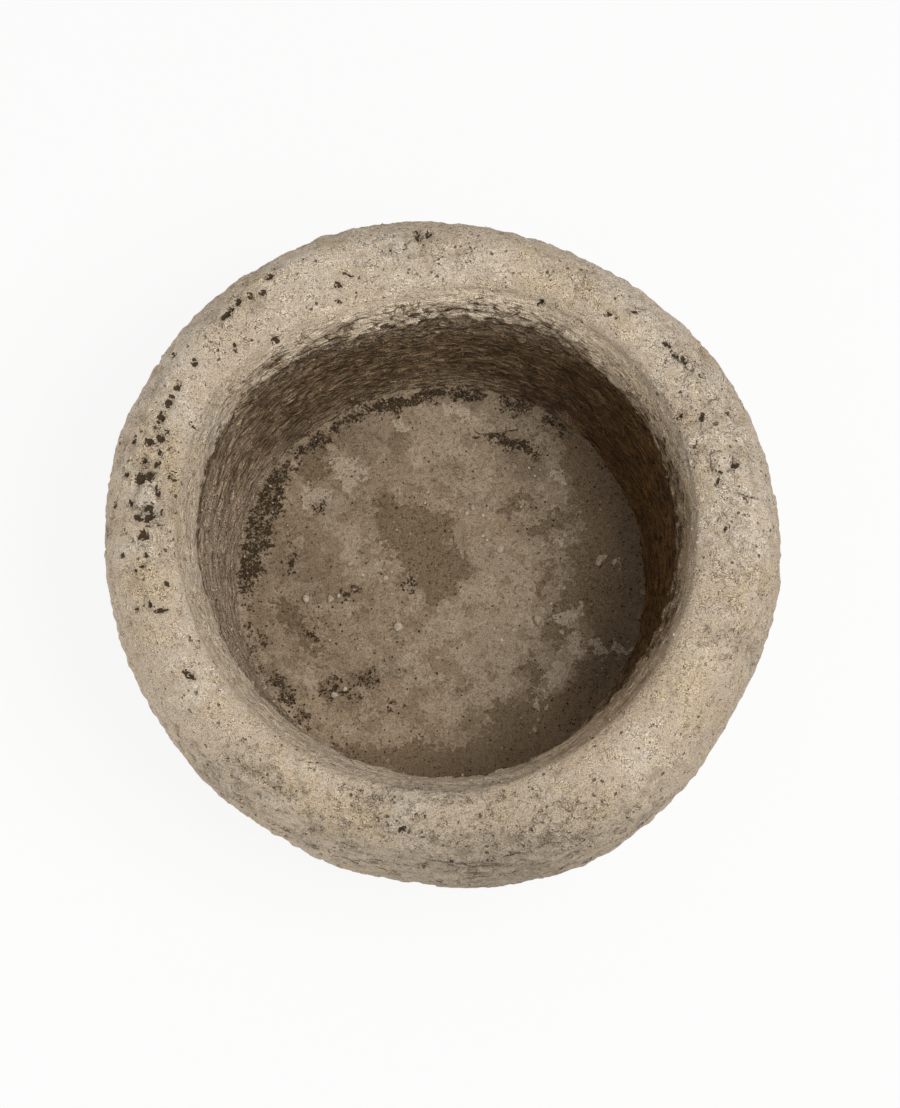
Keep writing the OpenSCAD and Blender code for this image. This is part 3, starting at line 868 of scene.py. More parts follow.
def broken_stones(name, places, normals, widths, seed, sink, rings=2, columns=5, fields=None):
    """Small broken stones in one mesh: each is a ball cut flat by twelve random planes, flattened a
    little, turned at random about its normal and sunk by a share of its width. Fields give one value a
    stone."""
    rng = np.random.default_rng(seed)
    directions, quads, triangles = ball(rings, columns)
    count, size = len(places), len(directions)
    planes = rng.normal(size=(count, 12, 3))
    planes /= np.linalg.norm(planes, axis=2, keepdims=True)
    cut = rng.uniform(0.62, 1.0, (count, 1, 12))
    facing = np.maximum(directions @ planes.transpose(0, 2, 1), 0.05)
    reach = np.minimum((cut / facing).min(2), 1.1)
    shape = directions[None] * reach[..., None] * rng.uniform(0.75, 1.1, (count, 1, 3)) * (1, 1, 0.8)
    side = np.cross(normals, rng.normal(size=(count, 3)))
    side /= np.linalg.norm(side, axis=1, keepdims=True)
    frame_axes = np.stack([side, np.cross(normals, side), normals], 1)
    points = (shape * widths[:, None, None] / 2) @ frame_axes
    points += (places + normals * (widths * (0.4 - sink))[:, None])[:, None]
    spread = {field: np.repeat(values, size, axis=0) for field, values in (fields or {}).items()}
    spread["shade"] = np.repeat(rng.uniform(0, 1, count), size)
    shift = (np.arange(count) * size)[:, None, None]
    return make_mesh(name, points.reshape(-1, 3), (quads + shift).reshape(-1, 4),
                     (triangles + shift).reshape(-1, 3), spread, smooth_shaded=False)


def build_grains(grid, normals, drawn, fields):
    """Grains that stand out of the stone: places drawn from the grid by a weight that is high on the
    broken zones and the wall, and low on the neck, the crumbling lip and dust."""
    rng = np.random.default_rng(17)
    weight = 0.55 + 0.9 * smooth(-10, 8, fields["broken"]) + 0.5 * fields["wall"]
    weight *= (grid[..., 2] > 0.10) * (1 - 0.8 * fields["neck"]) * (1 - 0.7 * fields["crumble"])
    weight *= (fields["vug"] < -0.5) * (1 - 0.5 * fields["dust"])
    weight *= smooth(0.272, 0.250, radius_of(grid))
    area = np.linalg.norm(np.cross(np.roll(grid, -1, 1) - grid, np.gradient(grid, axis=0)), axis=-1)
    weight = (weight * area).ravel()
    chosen = rng.choice(weight.size, GRAIN_COUNT, replace=False, p=weight / weight.sum())
    places, facing = grid.reshape(-1, 3)[chosen], normals.reshape(-1, 3)[chosen]
    places = places + MM * 1.3 * rng.uniform(-1, 1, places.shape)
    widths = MM * (1.2 + 2.6 * rng.power(0.42, GRAIN_COUNT))
    kept = (places < np.array(STONE_HIGH) - GRAIN_GAP) & (places > np.array(STONE_LOW) + GRAIN_GAP)
    kept = kept.all(1)
    own = {name: values.ravel()[chosen][kept] for name, values in fields.items()}
    own["drawn"] = drawn.reshape(-1, 3)[chosen][kept]
    own["low"] = np.zeros(kept.sum())
    return broken_stones("stone_grains", places[kept], facing[kept], widths[kept], 23, 0.46, fields=own)


def silt_height(plan):
    """Height of the silt over plan places: slow waves, fine lumps, and a bank along the wall that is
    highest on the left."""
    flat = laid_flat(plan)
    bank = smooth(0.152, 0.191, radius_of(plan))
    bank = bank * (2.4 + 9 * hump(angle_of(plan), 184, 75) + 1.4 * noise(flat, 0.03, 7))
    return BED_Z + MM * (0.7 * noise(flat, 0.07, 1) + 0.35 * layered(flat, 0.018, 2, 3) + bank)


def silt_fields(form, plan):
    """Masks of the silt, one value a point: its patches, an uneven tone, small blotches, and the scratch
    as the distance in mm to its line and the share of it that is scratched."""
    flat = laid_flat(plan)
    patches = {"damp_and_shade": (DAMP_AND_SHADE, 241, 0.0075), "dim": (DIM, 243, 0.010), "dusty": (DUSTY, 247, 0.014),
               "limed": (LIMED, 251, 0.004), "brown": (BROWN, 263, 0.008), "grit": (GRIT, 257, 0.0045)}
    fields = {name: outline_field(form, outlines, plan, seed, waver)
              for name, (outlines, seed, waver) in patches.items()}
    fields["tone"] = layered(flat, 0.055, 271, 5) + 2.4 * smooth(-0.085, -0.150, plan[..., 1])
    fields["blotch"] = layered(flat, 0.016, 281, 3)
    line = landing(form, SCRATCH)
    off_line = plan[..., 1] - np.interp(plan[..., 0], line[:, 0], line[:, 1])
    fields["scratch"] = off_line / MM + 0.5 * noise(flat, 0.006, 291)
    between = (plan[..., 0] - line[0, 0]) * (line[-1, 0] - plan[..., 0]) > 0
    fields["scratched"] = between.astype(float)
    return fields


def build_silt(form):
    """The silt bed: a square grid drawn out to a disc, x by root of (1 - y squared over 2) and y
    likewise, with its edge buried in the wall, closed by one band and a fan underneath."""
    count = SILT_POINTS
    line = np.linspace(-1, 1, count)
    u, v = np.meshgrid(line, line, indexing="xy")
    plan = SILT_RADIUS * np.stack([u * np.sqrt(1 - v * v / 2), v * np.sqrt(1 - u * u / 2)], -1)
    fields = silt_fields(form, plan)
    gritty = smooth(-4, 4, fields["grit"])
    z = silt_height(plan) + MM * gritty * (2.2 * rounded(laid_flat(plan), 0.007, 91, 2) - 0.9)
    top = np.concatenate([plan, z[..., None]], -1).reshape(-1, 3)
    k, i = np.meshgrid(np.arange(count - 1), np.arange(count - 1), indexing="ij")
    a = (k * count + i).ravel()
    quads = np.stack([a, a + 1, a + count + 1, a + count], -1)
    along = np.arange(count - 1)
    base = count * count
    edge = np.concatenate([along, (along + 1) * count - 1, base - 1 - along, (count - 1 - along) * count])
    under = top[edge] * (0.96, 0.96, 0) + (0, 0, FLOOR_Z + SILT_GAP)
    points = np.concatenate([top, under, [[0, 0, FLOOR_Z + SILT_GAP]]])
    i = np.arange(len(edge))
    j = (i + 1) % len(edge)
    band_quads = np.stack([edge[j], edge[i], base + i, base + j], -1)
    fan = np.stack([base + j, base + i, 0 * i + base + len(edge)], -1)
    padded = {name: np.append(value.ravel(), np.zeros(len(edge) + 1)) for name, value in fields.items()}
    piece = make_mesh("silt", points, np.concatenate([quads, band_quads]), fan, padded)
    return piece, plan, z, fields


def build_crumbs():
    """The loose crumbs of the model, each a broken stone lying on the silt."""
    share, angle, width = np.array(CRUMBS).T
    turn, reach = np.radians(angle), share * BED_RADIUS
    plan = np.stack([reach * np.cos(turn), reach * np.sin(turn)], -1)
    places = np.concatenate([plan, silt_height(plan)[:, None]], -1)
    return broken_stones("crumbs", places, upward(len(places)), MM * width, 5, 0.12, rings=9, columns=14)


def build_grit(plan, z, fields):
    """Grit strewn on the silt: most of it where the black grit lies, and a little everywhere."""
    rng = np.random.default_rng(29)
    r = radius_of(plan)
    weight = 0.16 + 2.2 * smooth(-4, 5, fields["grit"]) + 0.25 * smooth(0.15, 0.18, r)
    weight *= (r < GRIT_RADIUS) * (1 - 0.6 * smooth(0, 10, fields["dusty"]))
    chosen = rng.choice(weight.size, GRIT_COUNT, replace=False, p=(weight / weight.sum()).ravel())
    places = np.concatenate([plan.reshape(-1, 2)[chosen], z.ravel()[chosen][:, None]], -1)
    widths = MM * (0.8 + 2.0 * rng.power(0.4, GRIT_COUNT))
    own = {name: fields[name].ravel()[chosen] for name in ("grit", "damp_and_shade")}
    return broken_stones("grit", places, upward(GRIT_COUNT), widths, 31, 0.2, fields=own)


def build_chips(form):
    """Pale chips lying on the silt where the photograph shows them."""
    places = landing(form, CHIPS)
    places[:, 2] = silt_height(places[:, :2])
    widths = MM * np.array([chip[2] for chip in CHIPS])
    return broken_stones("chips", places, upward(len(places)), widths, 37, 0.1, rings=5, columns=9)


def point_camera():
    """Camera of the photograph."""
    camera = bpy.data.cameras.new("photo_camera")
    camera.sensor_fit = "AUTO"
    camera.sensor_width = 36
    camera.lens = FOCAL_PIXELS / PHOTO_HEIGHT * camera.sensor_width
    camera.clip_start = 0.05
    camera.clip_end = 50
    holder = bpy.data.objects.new("photo_camera", camera)
    right, up, ahead = camera_axes()
    turn = Matrix((right, up, -ahead)).transposed()
    holder.matrix_world = Matrix.Translation(CAMERA_PLACE) @ turn.to_4x4()
    bpy.context.scene.collection.objects.link(holder)
    bpy.context.scene.camera = holder


def add_area(name, place, aim, wide, high, power):
    """Soft light of a width and height at a place, turned towards its aim and out of the camera's
    sight."""
    light = bpy.data.lights.new(name, "AREA")
    light.shape = "RECTANGLE"
    light.size = wide
    light.size_y = high
    light.energy = power
    light.color = LIGHT_COLOUR
    holder = bpy.data.objects.new(name, light)
    holder.location = place
    holder.rotation_euler = (Vector(aim) - Vector(place)).to_track_quat("-Z", "Y").to_euler()
    holder.visible_camera = False
    bpy.context.scene.collection.objects.link(holder)


class Nodes:
    """Short hand for placing and linking shader nodes."""

    def __init__(self, tree):
        self.tree = tree
        self.fields = {}

    def set(self, socket, value):
        """Link a socket to an input, or write a value into it, a colour with full alpha."""
        if isinstance(value, bpy.types.NodeSocket):
            self.tree.links.new(value, socket)
        else:
            socket.default_value = (*value, 1.0) if isinstance(value, Color) else value

    def add(self, kind, inputs=None, **settings):
        """New node of a kind, with its settings, and its inputs given as values or as sockets to link."""
        node = self.tree.nodes.new(kind)
        for name, value in settings.items():
            setattr(node, name, value)
        for name, value in (inputs or {}).items():
            self.set(node.inputs[name], value)
        return node

    def math(self, kind, *values):
        """Value of a math node."""
        return self.add("ShaderNodeMath", dict(enumerate(values)), operation=kind).outputs[0]

    def times(self, *values):
        """Product of any number of values."""
        total = values[0]
        for value in values[1:]:
            total = self.math("MULTIPLY", total, value)
        return total

    def plus(self, *values):
        """Sum of any number of values."""
        total = values[0]
        for value in values[1:]:
            total = self.math("ADD", total, value)
        return total

    def rest(self, value):
        """What a value leaves of 1."""
        return self.math("SUBTRACT", 1.0, value)

    def mix(self, share, first, second, kind="MIX"):
        """Colour mixed by a share."""
        node = self.add("ShaderNodeMix", data_type="RGBA", blend_type=kind)
        for index, value in ((0, share), (6, first), (7, second)):
            self.set(node.inputs[index], value)
        return node.outputs[2]

    def coats(self, colour, *coats):
        """Colour with coats laid over it in turn, each given as its share and its colour."""
        for share, coat in coats:
            colour = self.mix(share, colour, coat)
        return colour

    def shade(self, colour, factor):
        """Colour made lighter or darker by a factor."""
        grey = self.add("ShaderNodeCombineColor", {name: factor for name in ("Red", "Green", "Blue")})
        return self.mix(1.0, colour, grey.outputs[0], "MULTIPLY")

    def ramp(self, value, low, high, to_low=0.0, to_high=1.0, soft=True):
        """Value carried from one range to another, held at both ends."""
        return self.add(
            "ShaderNodeMapRange",
            {"Value": value, "From Min": low, "From Max": high, "To Min": to_low, "To Max": to_high},
            interpolation_type="SMOOTHSTEP" if soft else "LINEAR",
        ).outputs[0]

    def noise(self, place, scale, detail, roughness):
        """Noise at a place, about 0.5 on average."""
        return self.add(
            "ShaderNodeTexNoise",
            {"Vector": place, "Scale": scale, "Detail": detail, "Roughness": roughness},
        ).outputs["Fac"]

    def field(self, name):
        """Value of one of the piece's own attributes."""
        if name not in self.fields:
            self.fields[name] = self.add("ShaderNodeAttribute", attribute_name=name).outputs["Fac"]
        return self.fields[name]

    def use(self, name, **inputs):
        """Outputs of a shared node group placed here, by name."""
        node = self.add("ShaderNodeGroup", node_tree=shared_group(name))
        for label, value in inputs.items():
            self.set(node.inputs[label], value)
        return node.outputs

    def edge(self, name, noise, shake, softness, cut=0.0):
        """Mask of one of the piece's own attributes, cut with a ragged edge."""
        return self.use("Ragged Edge", Field=self.field(name), Noise=noise, Shake=shake, Softness=softness,
                        Cut=cut)["Mask"]


def new_group(name, inputs, outputs):
    """Empty node group with named sockets, and its helper, its inputs by name and its output node."""
    tree = bpy.data.node_groups.new(name, "ShaderNodeTree")
    for label, kind, value in inputs:
        socket = tree.interface.new_socket(label, in_out="INPUT", socket_type=kind)
        if value is not None:
            socket.default_value = value
    for label, kind in outputs:
        tree.interface.new_socket(label, in_out="OUTPUT", socket_type=kind)
    given = tree.nodes.new("NodeGroupInput").outputs
    result = tree.nodes.new("NodeGroupOutput").inputs
    return tree, Nodes(tree), given, result


FLOAT = "NodeSocketFloat"
VECTOR = "NodeSocketVector"
COLOUR = "NodeSocketColor"


def worn_grain():
    """Grain of worn stone: sand of single grains, lumps about Size across, creases between them and small
    pits. Sand and Lump go from about -1 to 1, Crease and Pit from 0 to 1, and Height is in metres."""
    tree, n, given, result = new_group(
        "Worn Grain",
        [("Place", VECTOR, None), ("Size", FLOAT, 0.003), ("Depth", FLOAT, 1.0)],
        [("Sand", FLOAT), ("Lump", FLOAT), ("Crease", FLOAT), ("Pit", FLOAT), ("Height", FLOAT)],
    )
    scale = n.math("DIVIDE", 1.0, given["Size"])
    fine = n.noise(given["Place"], n.times(scale, 3.5), 0.0, 0.5)
    coarse = n.noise(given["Place"], scale, 1.5, 0.6)
    lump = n.math("ABSOLUTE", n.math("SUBTRACT", coarse, 0.5))
    pit = n.ramp(n.plus(coarse, n.times(fine, 0.30)), 0.50, 0.44, 0.0, 1.0)
    n.set(result["Sand"], n.ramp(fine, 0.27, 0.73, -1.0, 1.0, False))
    n.set(result["Lump"], n.ramp(coarse, 0.30, 0.70, -1.0, 1.0, False))
    n.set(result["Crease"], n.ramp(lump, 0.0, 0.030, 1.0, 0.0))
    n.set(result["Pit"], pit)
    height = n.plus(n.times(fine, 0.17), n.times(coarse, 0.32), n.times(pit, -0.16))
    n.set(result["Height"], n.times(height, given["Size"], given["Depth"]))
    return tree


def hair_cracks():
    """Short wandering cracks: thin lines where a noise crosses its middle, as far as Keep is high."""
    tree, n, given, result = new_group(
        "Hair Cracks",
        [("Place", VECTOR, None), ("Keep", FLOAT, 0.0), ("Size", FLOAT, 0.006), ("Width", FLOAT, 0.02)],
        [("Mask", FLOAT)],
    )
    crossing = n.noise(given["Place"], n.math("DIVIDE", 1.0, given["Size"]), 2.0, 0.6)
    line = n.math("ABSOLUTE", n.math("SUBTRACT", crossing, 0.5))
    mask = n.times(n.ramp(line, n.times(given["Width"], 0.3), given["Width"], 1.0, 0.0), given["Keep"])
    n.set(result["Mask"], mask)
    return tree


def ragged_pits():
    """Pits in some of the cells of a random pattern, each of its own reach, with its edge made ragged by
    Shake, which goes from about -1 to 1. Odds is a random number for each pit."""
    tree, n, given, result = new_group(
        "Ragged Pits",
        [("Place", VECTOR, None), ("Shake", FLOAT, 0.0), ("Size", FLOAT, 0.006), ("Share", FLOAT, 0.3),
         ("Reach", FLOAT, 0.3)],
        [("Mask", FLOAT), ("Odds", FLOAT)],
    )
    scale = n.math("DIVIDE", 1.0, given["Size"])
    cell = n.add("ShaderNodeTexVoronoi", {"Vector": given["Place"], "Scale": scale})
    odds = n.add("ShaderNodeSeparateColor", {"Color": cell.outputs["Color"]}).outputs
    far = n.plus(cell.outputs["Distance"], n.times(given["Shake"], 0.16))
    reach = n.times(given["Reach"], n.ramp(odds[1], 0.0, 1.0, 0.35, 1.3, False))
    kept = n.math("LESS_THAN", odds[0], given["Share"])
    mask = n.times(n.ramp(far, n.math("SUBTRACT", reach, 0.07), n.plus(reach, 0.07), 1.0, 0.0), kept)
    n.set(result["Mask"], mask)
    n.set(result["Odds"], odds[2])
    return tree


def bedded_stones():
    """Rounded stones bedded side by side: cells of a random pattern with their edges made uneven by
    Shake. Seam is the dark line between them where Keep is high, and Dome rises from 0 at a seam."""
    tree, n, given, result = new_group(
        "Bedded Stones",
        [("Place", VECTOR, None), ("Shake", FLOAT, 0.0), ("Size", FLOAT, 0.012), ("Keep", FLOAT, 1.0)],
        [("Seam", FLOAT), ("Dome", FLOAT)],
    )
    shift = n.add("ShaderNodeCombineXYZ", {axis: n.times(given["Shake"], 0.0012) for axis in ("X", "Y")})
    moved = n.add("ShaderNodeVectorMath", {0: given["Place"], 1: shift.outputs[0]}, operation="ADD")
    scale = n.math("DIVIDE", 1.0, given["Size"])
    edge = n.add("ShaderNodeTexVoronoi", {"Vector": moved.outputs[0], "Scale": scale},
                 feature="DISTANCE_TO_EDGE").outputs["Distance"]
    n.set(result["Seam"], n.times(n.ramp(edge, 0.025, 0.075, 1.0, 0.0), given["Keep"]))
    n.set(result["Dome"], n.ramp(edge, 0.0, 0.30))
    return tree


def ragged_edge():
    """Turns a smooth field into a mask with a ragged edge: the field is moved by a noise about 0.5, whose
    usual reach is Shake, and cut."""
    tree, n, given, result = new_group(
        "Ragged Edge",
        [("Field", FLOAT, 0.0), ("Noise", FLOAT, 0.5), ("Shake", FLOAT, 5.0), ("Cut", FLOAT, 0.0),
         ("Softness", FLOAT, 2.0)],
        [("Mask", FLOAT)],
    )
    shift = n.times(n.math("SUBTRACT", given["Noise"], 0.5), given["Shake"], 14.0)
    low = n.math("SUBTRACT", given["Cut"], given["Softness"])
    high = n.plus(given["Cut"], given["Softness"])
    n.set(result["Mask"], n.ramp(n.plus(given["Field"], shift), low, high))
    return tree


GROUPS = {"Worn Grain": worn_grain, "Hair Cracks": hair_cracks, "Ragged Pits": ragged_pits,
          "Bedded Stones": bedded_stones, "Ragged Edge": ragged_edge}


def shared_group(name):
    """Node group of a name, built the first time that it is asked for."""
    return bpy.data.node_groups.get(name) or GROUPS[name]()


def new_material(name, roughness):
    """Material with a Principled shader, and its helper, its shader and its output's socket."""
    material = bpy.data.materials.new(name)
    material.use_nodes = True
    material.node_tree.nodes.clear()
    n = Nodes(material.node_tree)
    shader = n.add("ShaderNodeBsdfPrincipled", {"Roughness": roughness, "Specular IOR Level": 0.2})
    output = n.add("ShaderNodeOutputMaterial").inputs["Surface"]
    n.set(output, shader.outputs[0])
    return material, n, shader, output


def finish_material(n, shader, colour, height, depth=1.0):
    """Link the colour and the height, which is in metres, to the shader."""
    n.set(shader.inputs["Base Color"], colour)
    bump = n.add("ShaderNodeBump", {"Height": height, "Distance": depth, "Strength": 1.0})
    n.set(shader.inputs["Normal"], bump.outputs[0])


def rim_colour(n, look, place, lump, mottle):
    """Colour of the rim and neck: warm stone with pale, ochre and soiled zones and paler stones in it, the
    soiled zones partly painted shade under the front ledge, darker over the front, painted light at the
    back of the neck, and brown discolouring and painted shade on its right."""
    pale, ochre, dirt_and_shade = (
        n.edge(name, mottle, shake, softness) for name, shake, softness in
        (("pale", 7.0, 7.0), ("ochre", 8.0, 7.0), ("dirt_and_shade", 6.0, 5.0)))
    pebble = n.ramp(n.field("clast"), 0.6, -0.8)
    blot = n.noise(place, 36, 3, 0.62)
    return n.coats(
        look.warm,
        (n.ramp(n.field("tone"), 0.1, 0.7, 0.0, 0.5), look.pale),
        (n.math("MAXIMUM", n.times(pale, 0.50), n.times(pebble, 0.55)), look.pale),
        (n.plus(n.times(ochre, 0.40), n.ramp(blot, 0.50, 0.64, 0.0, 0.35)), look.ochre),
        # Soiled zones, partly painted shade under the front ledge
        (n.times(dirt_and_shade, n.ramp(lump, -0.8, 0.8, 0.85, 0.35)), look.grey),
        # Darker over the outer front of the rim
        (n.times(n.field("front_darkening"), n.ramp(mottle, 0.40, 0.56, 0.35, 0.85)), look.grey),
        # Painted light on the back of the neck
        (n.times(n.field("neck_light"), n.ramp(mottle, 0.38, 0.55, 0.70, 1.0)), look.neck_light),
        # Brown stain and painted shade on the right of the neck
        (n.times(n.field("stain_and_shade"), n.ramp(mottle, 0.42, 0.56, 0.90, 0.50)), look.stain_and_shade),
    )


def wall_colour(n, look, grain, courses, mottle):
    """Colour of the hollow's wall: brown with dust, dark discolouring and painted shade under the lip and
    deep down, brown discolouring and painted shade with painted warm bounced light on the right, and
    streaked along the turn, less where dust lies. Painted light makes it paler on the crumbling lip at
    the back."""
    dust = n.field("dust")
    earth = n.coats(
        look.soot_and_shade,
        (n.ramp(mottle, 0.42, 0.54, 0.3, 1.0), look.wall),
        # Paler on the crumbling lip at the back: painted light
        (n.math("MAXIMUM", dust, n.times(n.field("crumble"), n.field("neck_light"), 0.40)), look.dust),
        # Dark stains and painted shade under the lip and deep down
        (n.times(n.field("soot_and_shade"), n.ramp(n.field("tone"), -0.6, 0.4, 0.55, 0.95)), look.soot_and_shade),
        # Brown stain and painted shade on the right of the wall
        (n.times(n.field("rust_and_shade"), 0.85), look.rust_and_shade),
    )
    streaks = n.plus(
        1.0,
        n.times(courses["Sand"], n.plus(0.56, n.times(dust, -0.36))),
        n.times(courses["Lump"], n.plus(0.14, n.times(dust, -0.08))),
        n.times(courses["Crease"], n.plus(-0.26, n.times(dust, 0.14))),
        n.times(grain["Sand"], n.plus(0.18, n.times(dust, 0.32))),
        n.times(grain["Lump"], dust, 0.10),
    )
    return n.shade(earth, n.math("MAXIMUM", streaks, 0.12))


def worn_shade(n, grain, strokes, mottle, rim, broken):
    """Factor of the stone's light and dark: sand, painted shade in small pits, rougher in places, and
    strokes on the neck."""
    neck = n.field("neck")
    slow = n.ramp(mottle, 0.40, 0.60, -1.0, 1.0, False)
    patchy = n.plus(mottle, n.times(broken, 0.04), n.times(n.field("tone"), -0.03))
    rough = n.ramp(patchy, 0.50, 0.60)
    worn = n.plus(
        1.0,
        n.times(grain["Sand"], n.plus(0.27, n.times(rough, 0.24))),
        n.times(grain["Lump"], 0.05),
        n.times(slow, 0.06),
        # Painted shade in small pits
        n.times(grain["Pit"], rim, rough, -0.30),
        n.times(strokes["Crease"], neck, -0.24),
        n.times(strokes["Sand"], neck, 0.26),
    )
    return n.math("MAXIMUM", worn, 0.15)


def stone_material(look):
    """Worn limestone: the rim's colour and the wall's, which meet in a ragged edge, then painted shade in
    the hollows, seams between bedded stones, cracks, ledges on the wall, splits on the flank, pits, painted
    shade in rings round the high stones and earth in the open holes."""
    material, n, shader, _ = new_material("limestone", 0.92)
    place = n.add("ShaderNodeTexCoord").outputs["Object"]
    drawn = n.add("ShaderNodeAttribute", attribute_name="drawn").outputs["Vector"]
    grain = n.use("Worn Grain", Place=place, Size=0.0036)
    strokes = n.use("Worn Grain", Place=drawn, Size=0.0046)
    courses = n.use("Worn Grain", Place=drawn, Size=0.0085)
    mottle = n.noise(place, 85, 4, 0.66)
    neck, crumble, dust = n.field("neck"), n.field("crumble"), n.field("dust")
    wall = n.edge("wall", mottle, n.plus(0.10, n.times(crumble, 0.48)),
                  n.plus(0.12, n.times(crumble, 0.36)), 0.5)
    rim = n.rest(n.math("MAXIMUM", neck, wall))
    broken = n.ramp(n.field("broken"), -9.0, 9.0)

    splits = n.use("Hair Cracks", Place=drawn, Size=0.0120, Width=0.026,
                   Keep=n.times(n.field("flank"), n.ramp(mottle, 0.50, 0.55)))["Mask"]
    cracks = n.use("Hair Cracks", Place=place, Size=0.0085, Width=0.018,
                   Keep=n.ramp(mottle, 0.52, 0.57))["Mask"]
    shelves = n.use("Hair Cracks", Place=drawn, Size=0.0105, Width=0.032,
                    Keep=n.times(n.math("MAXIMUM", wall, crumble), n.ramp(mottle, 0.42, 0.47)))["Mask"]
    seams = n.use("Bedded Stones", Place=place, Shake=grain["Lump"], Size=0.0125,
                  Keep=n.times(n.ramp(mottle, 0.48, 0.55), broken))
    single = n.use("Ragged Pits", Place=place, Shake=grain["Lump"], Size=0.0056,
                   Share=n.plus(0.12, n.times(broken, 0.14)), Reach=0.21)["Mask"]
    nested = n.use("Ragged Pits", Place=place, Shake=grain["Lump"], Size=0.0036, Share=0.55,
                   Reach=0.26)["Mask"]
    nest = n.ramp(n.plus(n.noise(place, 70, 1, 0.5), n.times(broken, 0.04)), 0.62, 0.68)
    pits = n.math("MAXIMUM", single, n.times(nested, nest))
    # Painted shade in a ring round each high stone, where its groove lies
    away = n.math("ABSOLUTE", n.plus(n.field("clast"), n.times(grain["Lump"], 0.5)))
    ring = n.times(n.ramp(away, 0.35, 1.0, 1.0, 0.0), n.ramp(mottle, 0.47, 0.53))
    vug = n.edge("vug", n.plus(0.5, n.times(grain["Lump"], 0.11)), 0.9, 0.25, -0.30)

    colour = n.mix(wall, rim_colour(n, look, place, grain["Lump"], mottle),
                   wall_colour(n, look, grain, courses, mottle))
    colour = n.shade(colour, worn_shade(n, grain, strokes, mottle, rim, broken))
    # Painted shade in low places, more on the crumbling lip and the wall
    crevice_shade = n.times(n.field("low"), n.plus(0.36, n.times(crumble, 0.26), n.times(wall, 0.3)))
    colour = n.coats(
        colour,
        # Painted shade in low places
        (n.ramp(crevice_shade, 0.0, 1.0, 0.0, 0.85, False), look.soot_and_shade),
        (n.times(cracks, n.rest(wall), 0.34), look.soot_and_shade),
        (n.times(seams["Seam"], 0.28), look.soot_and_shade),
        (n.times(shelves, n.plus(0.90, n.times(dust, -0.45))), look.line),
        (n.times(splits, 0.70), look.line),
        (n.times(pits, n.rest(neck), 0.80), look.pit),
        (n.times(ring, 0.60), look.pit),
        (vug, look.pit),
    )
    height = n.plus(
        grain["Height"], n.times(strokes["Height"], neck, 0.8), n.times(courses["Height"], wall, 1.2),
        n.times(seams["Dome"], broken, 0.0016), n.times(cracks, -0.0006), n.times(pits, -0.0009),
        n.times(shelves, -0.0012), n.times(splits, -0.0012), n.times(ring, -0.0008), n.times(vug, -0.0030),
    )
    finish_material(n, shader, colour, height, look.depth)
    return material


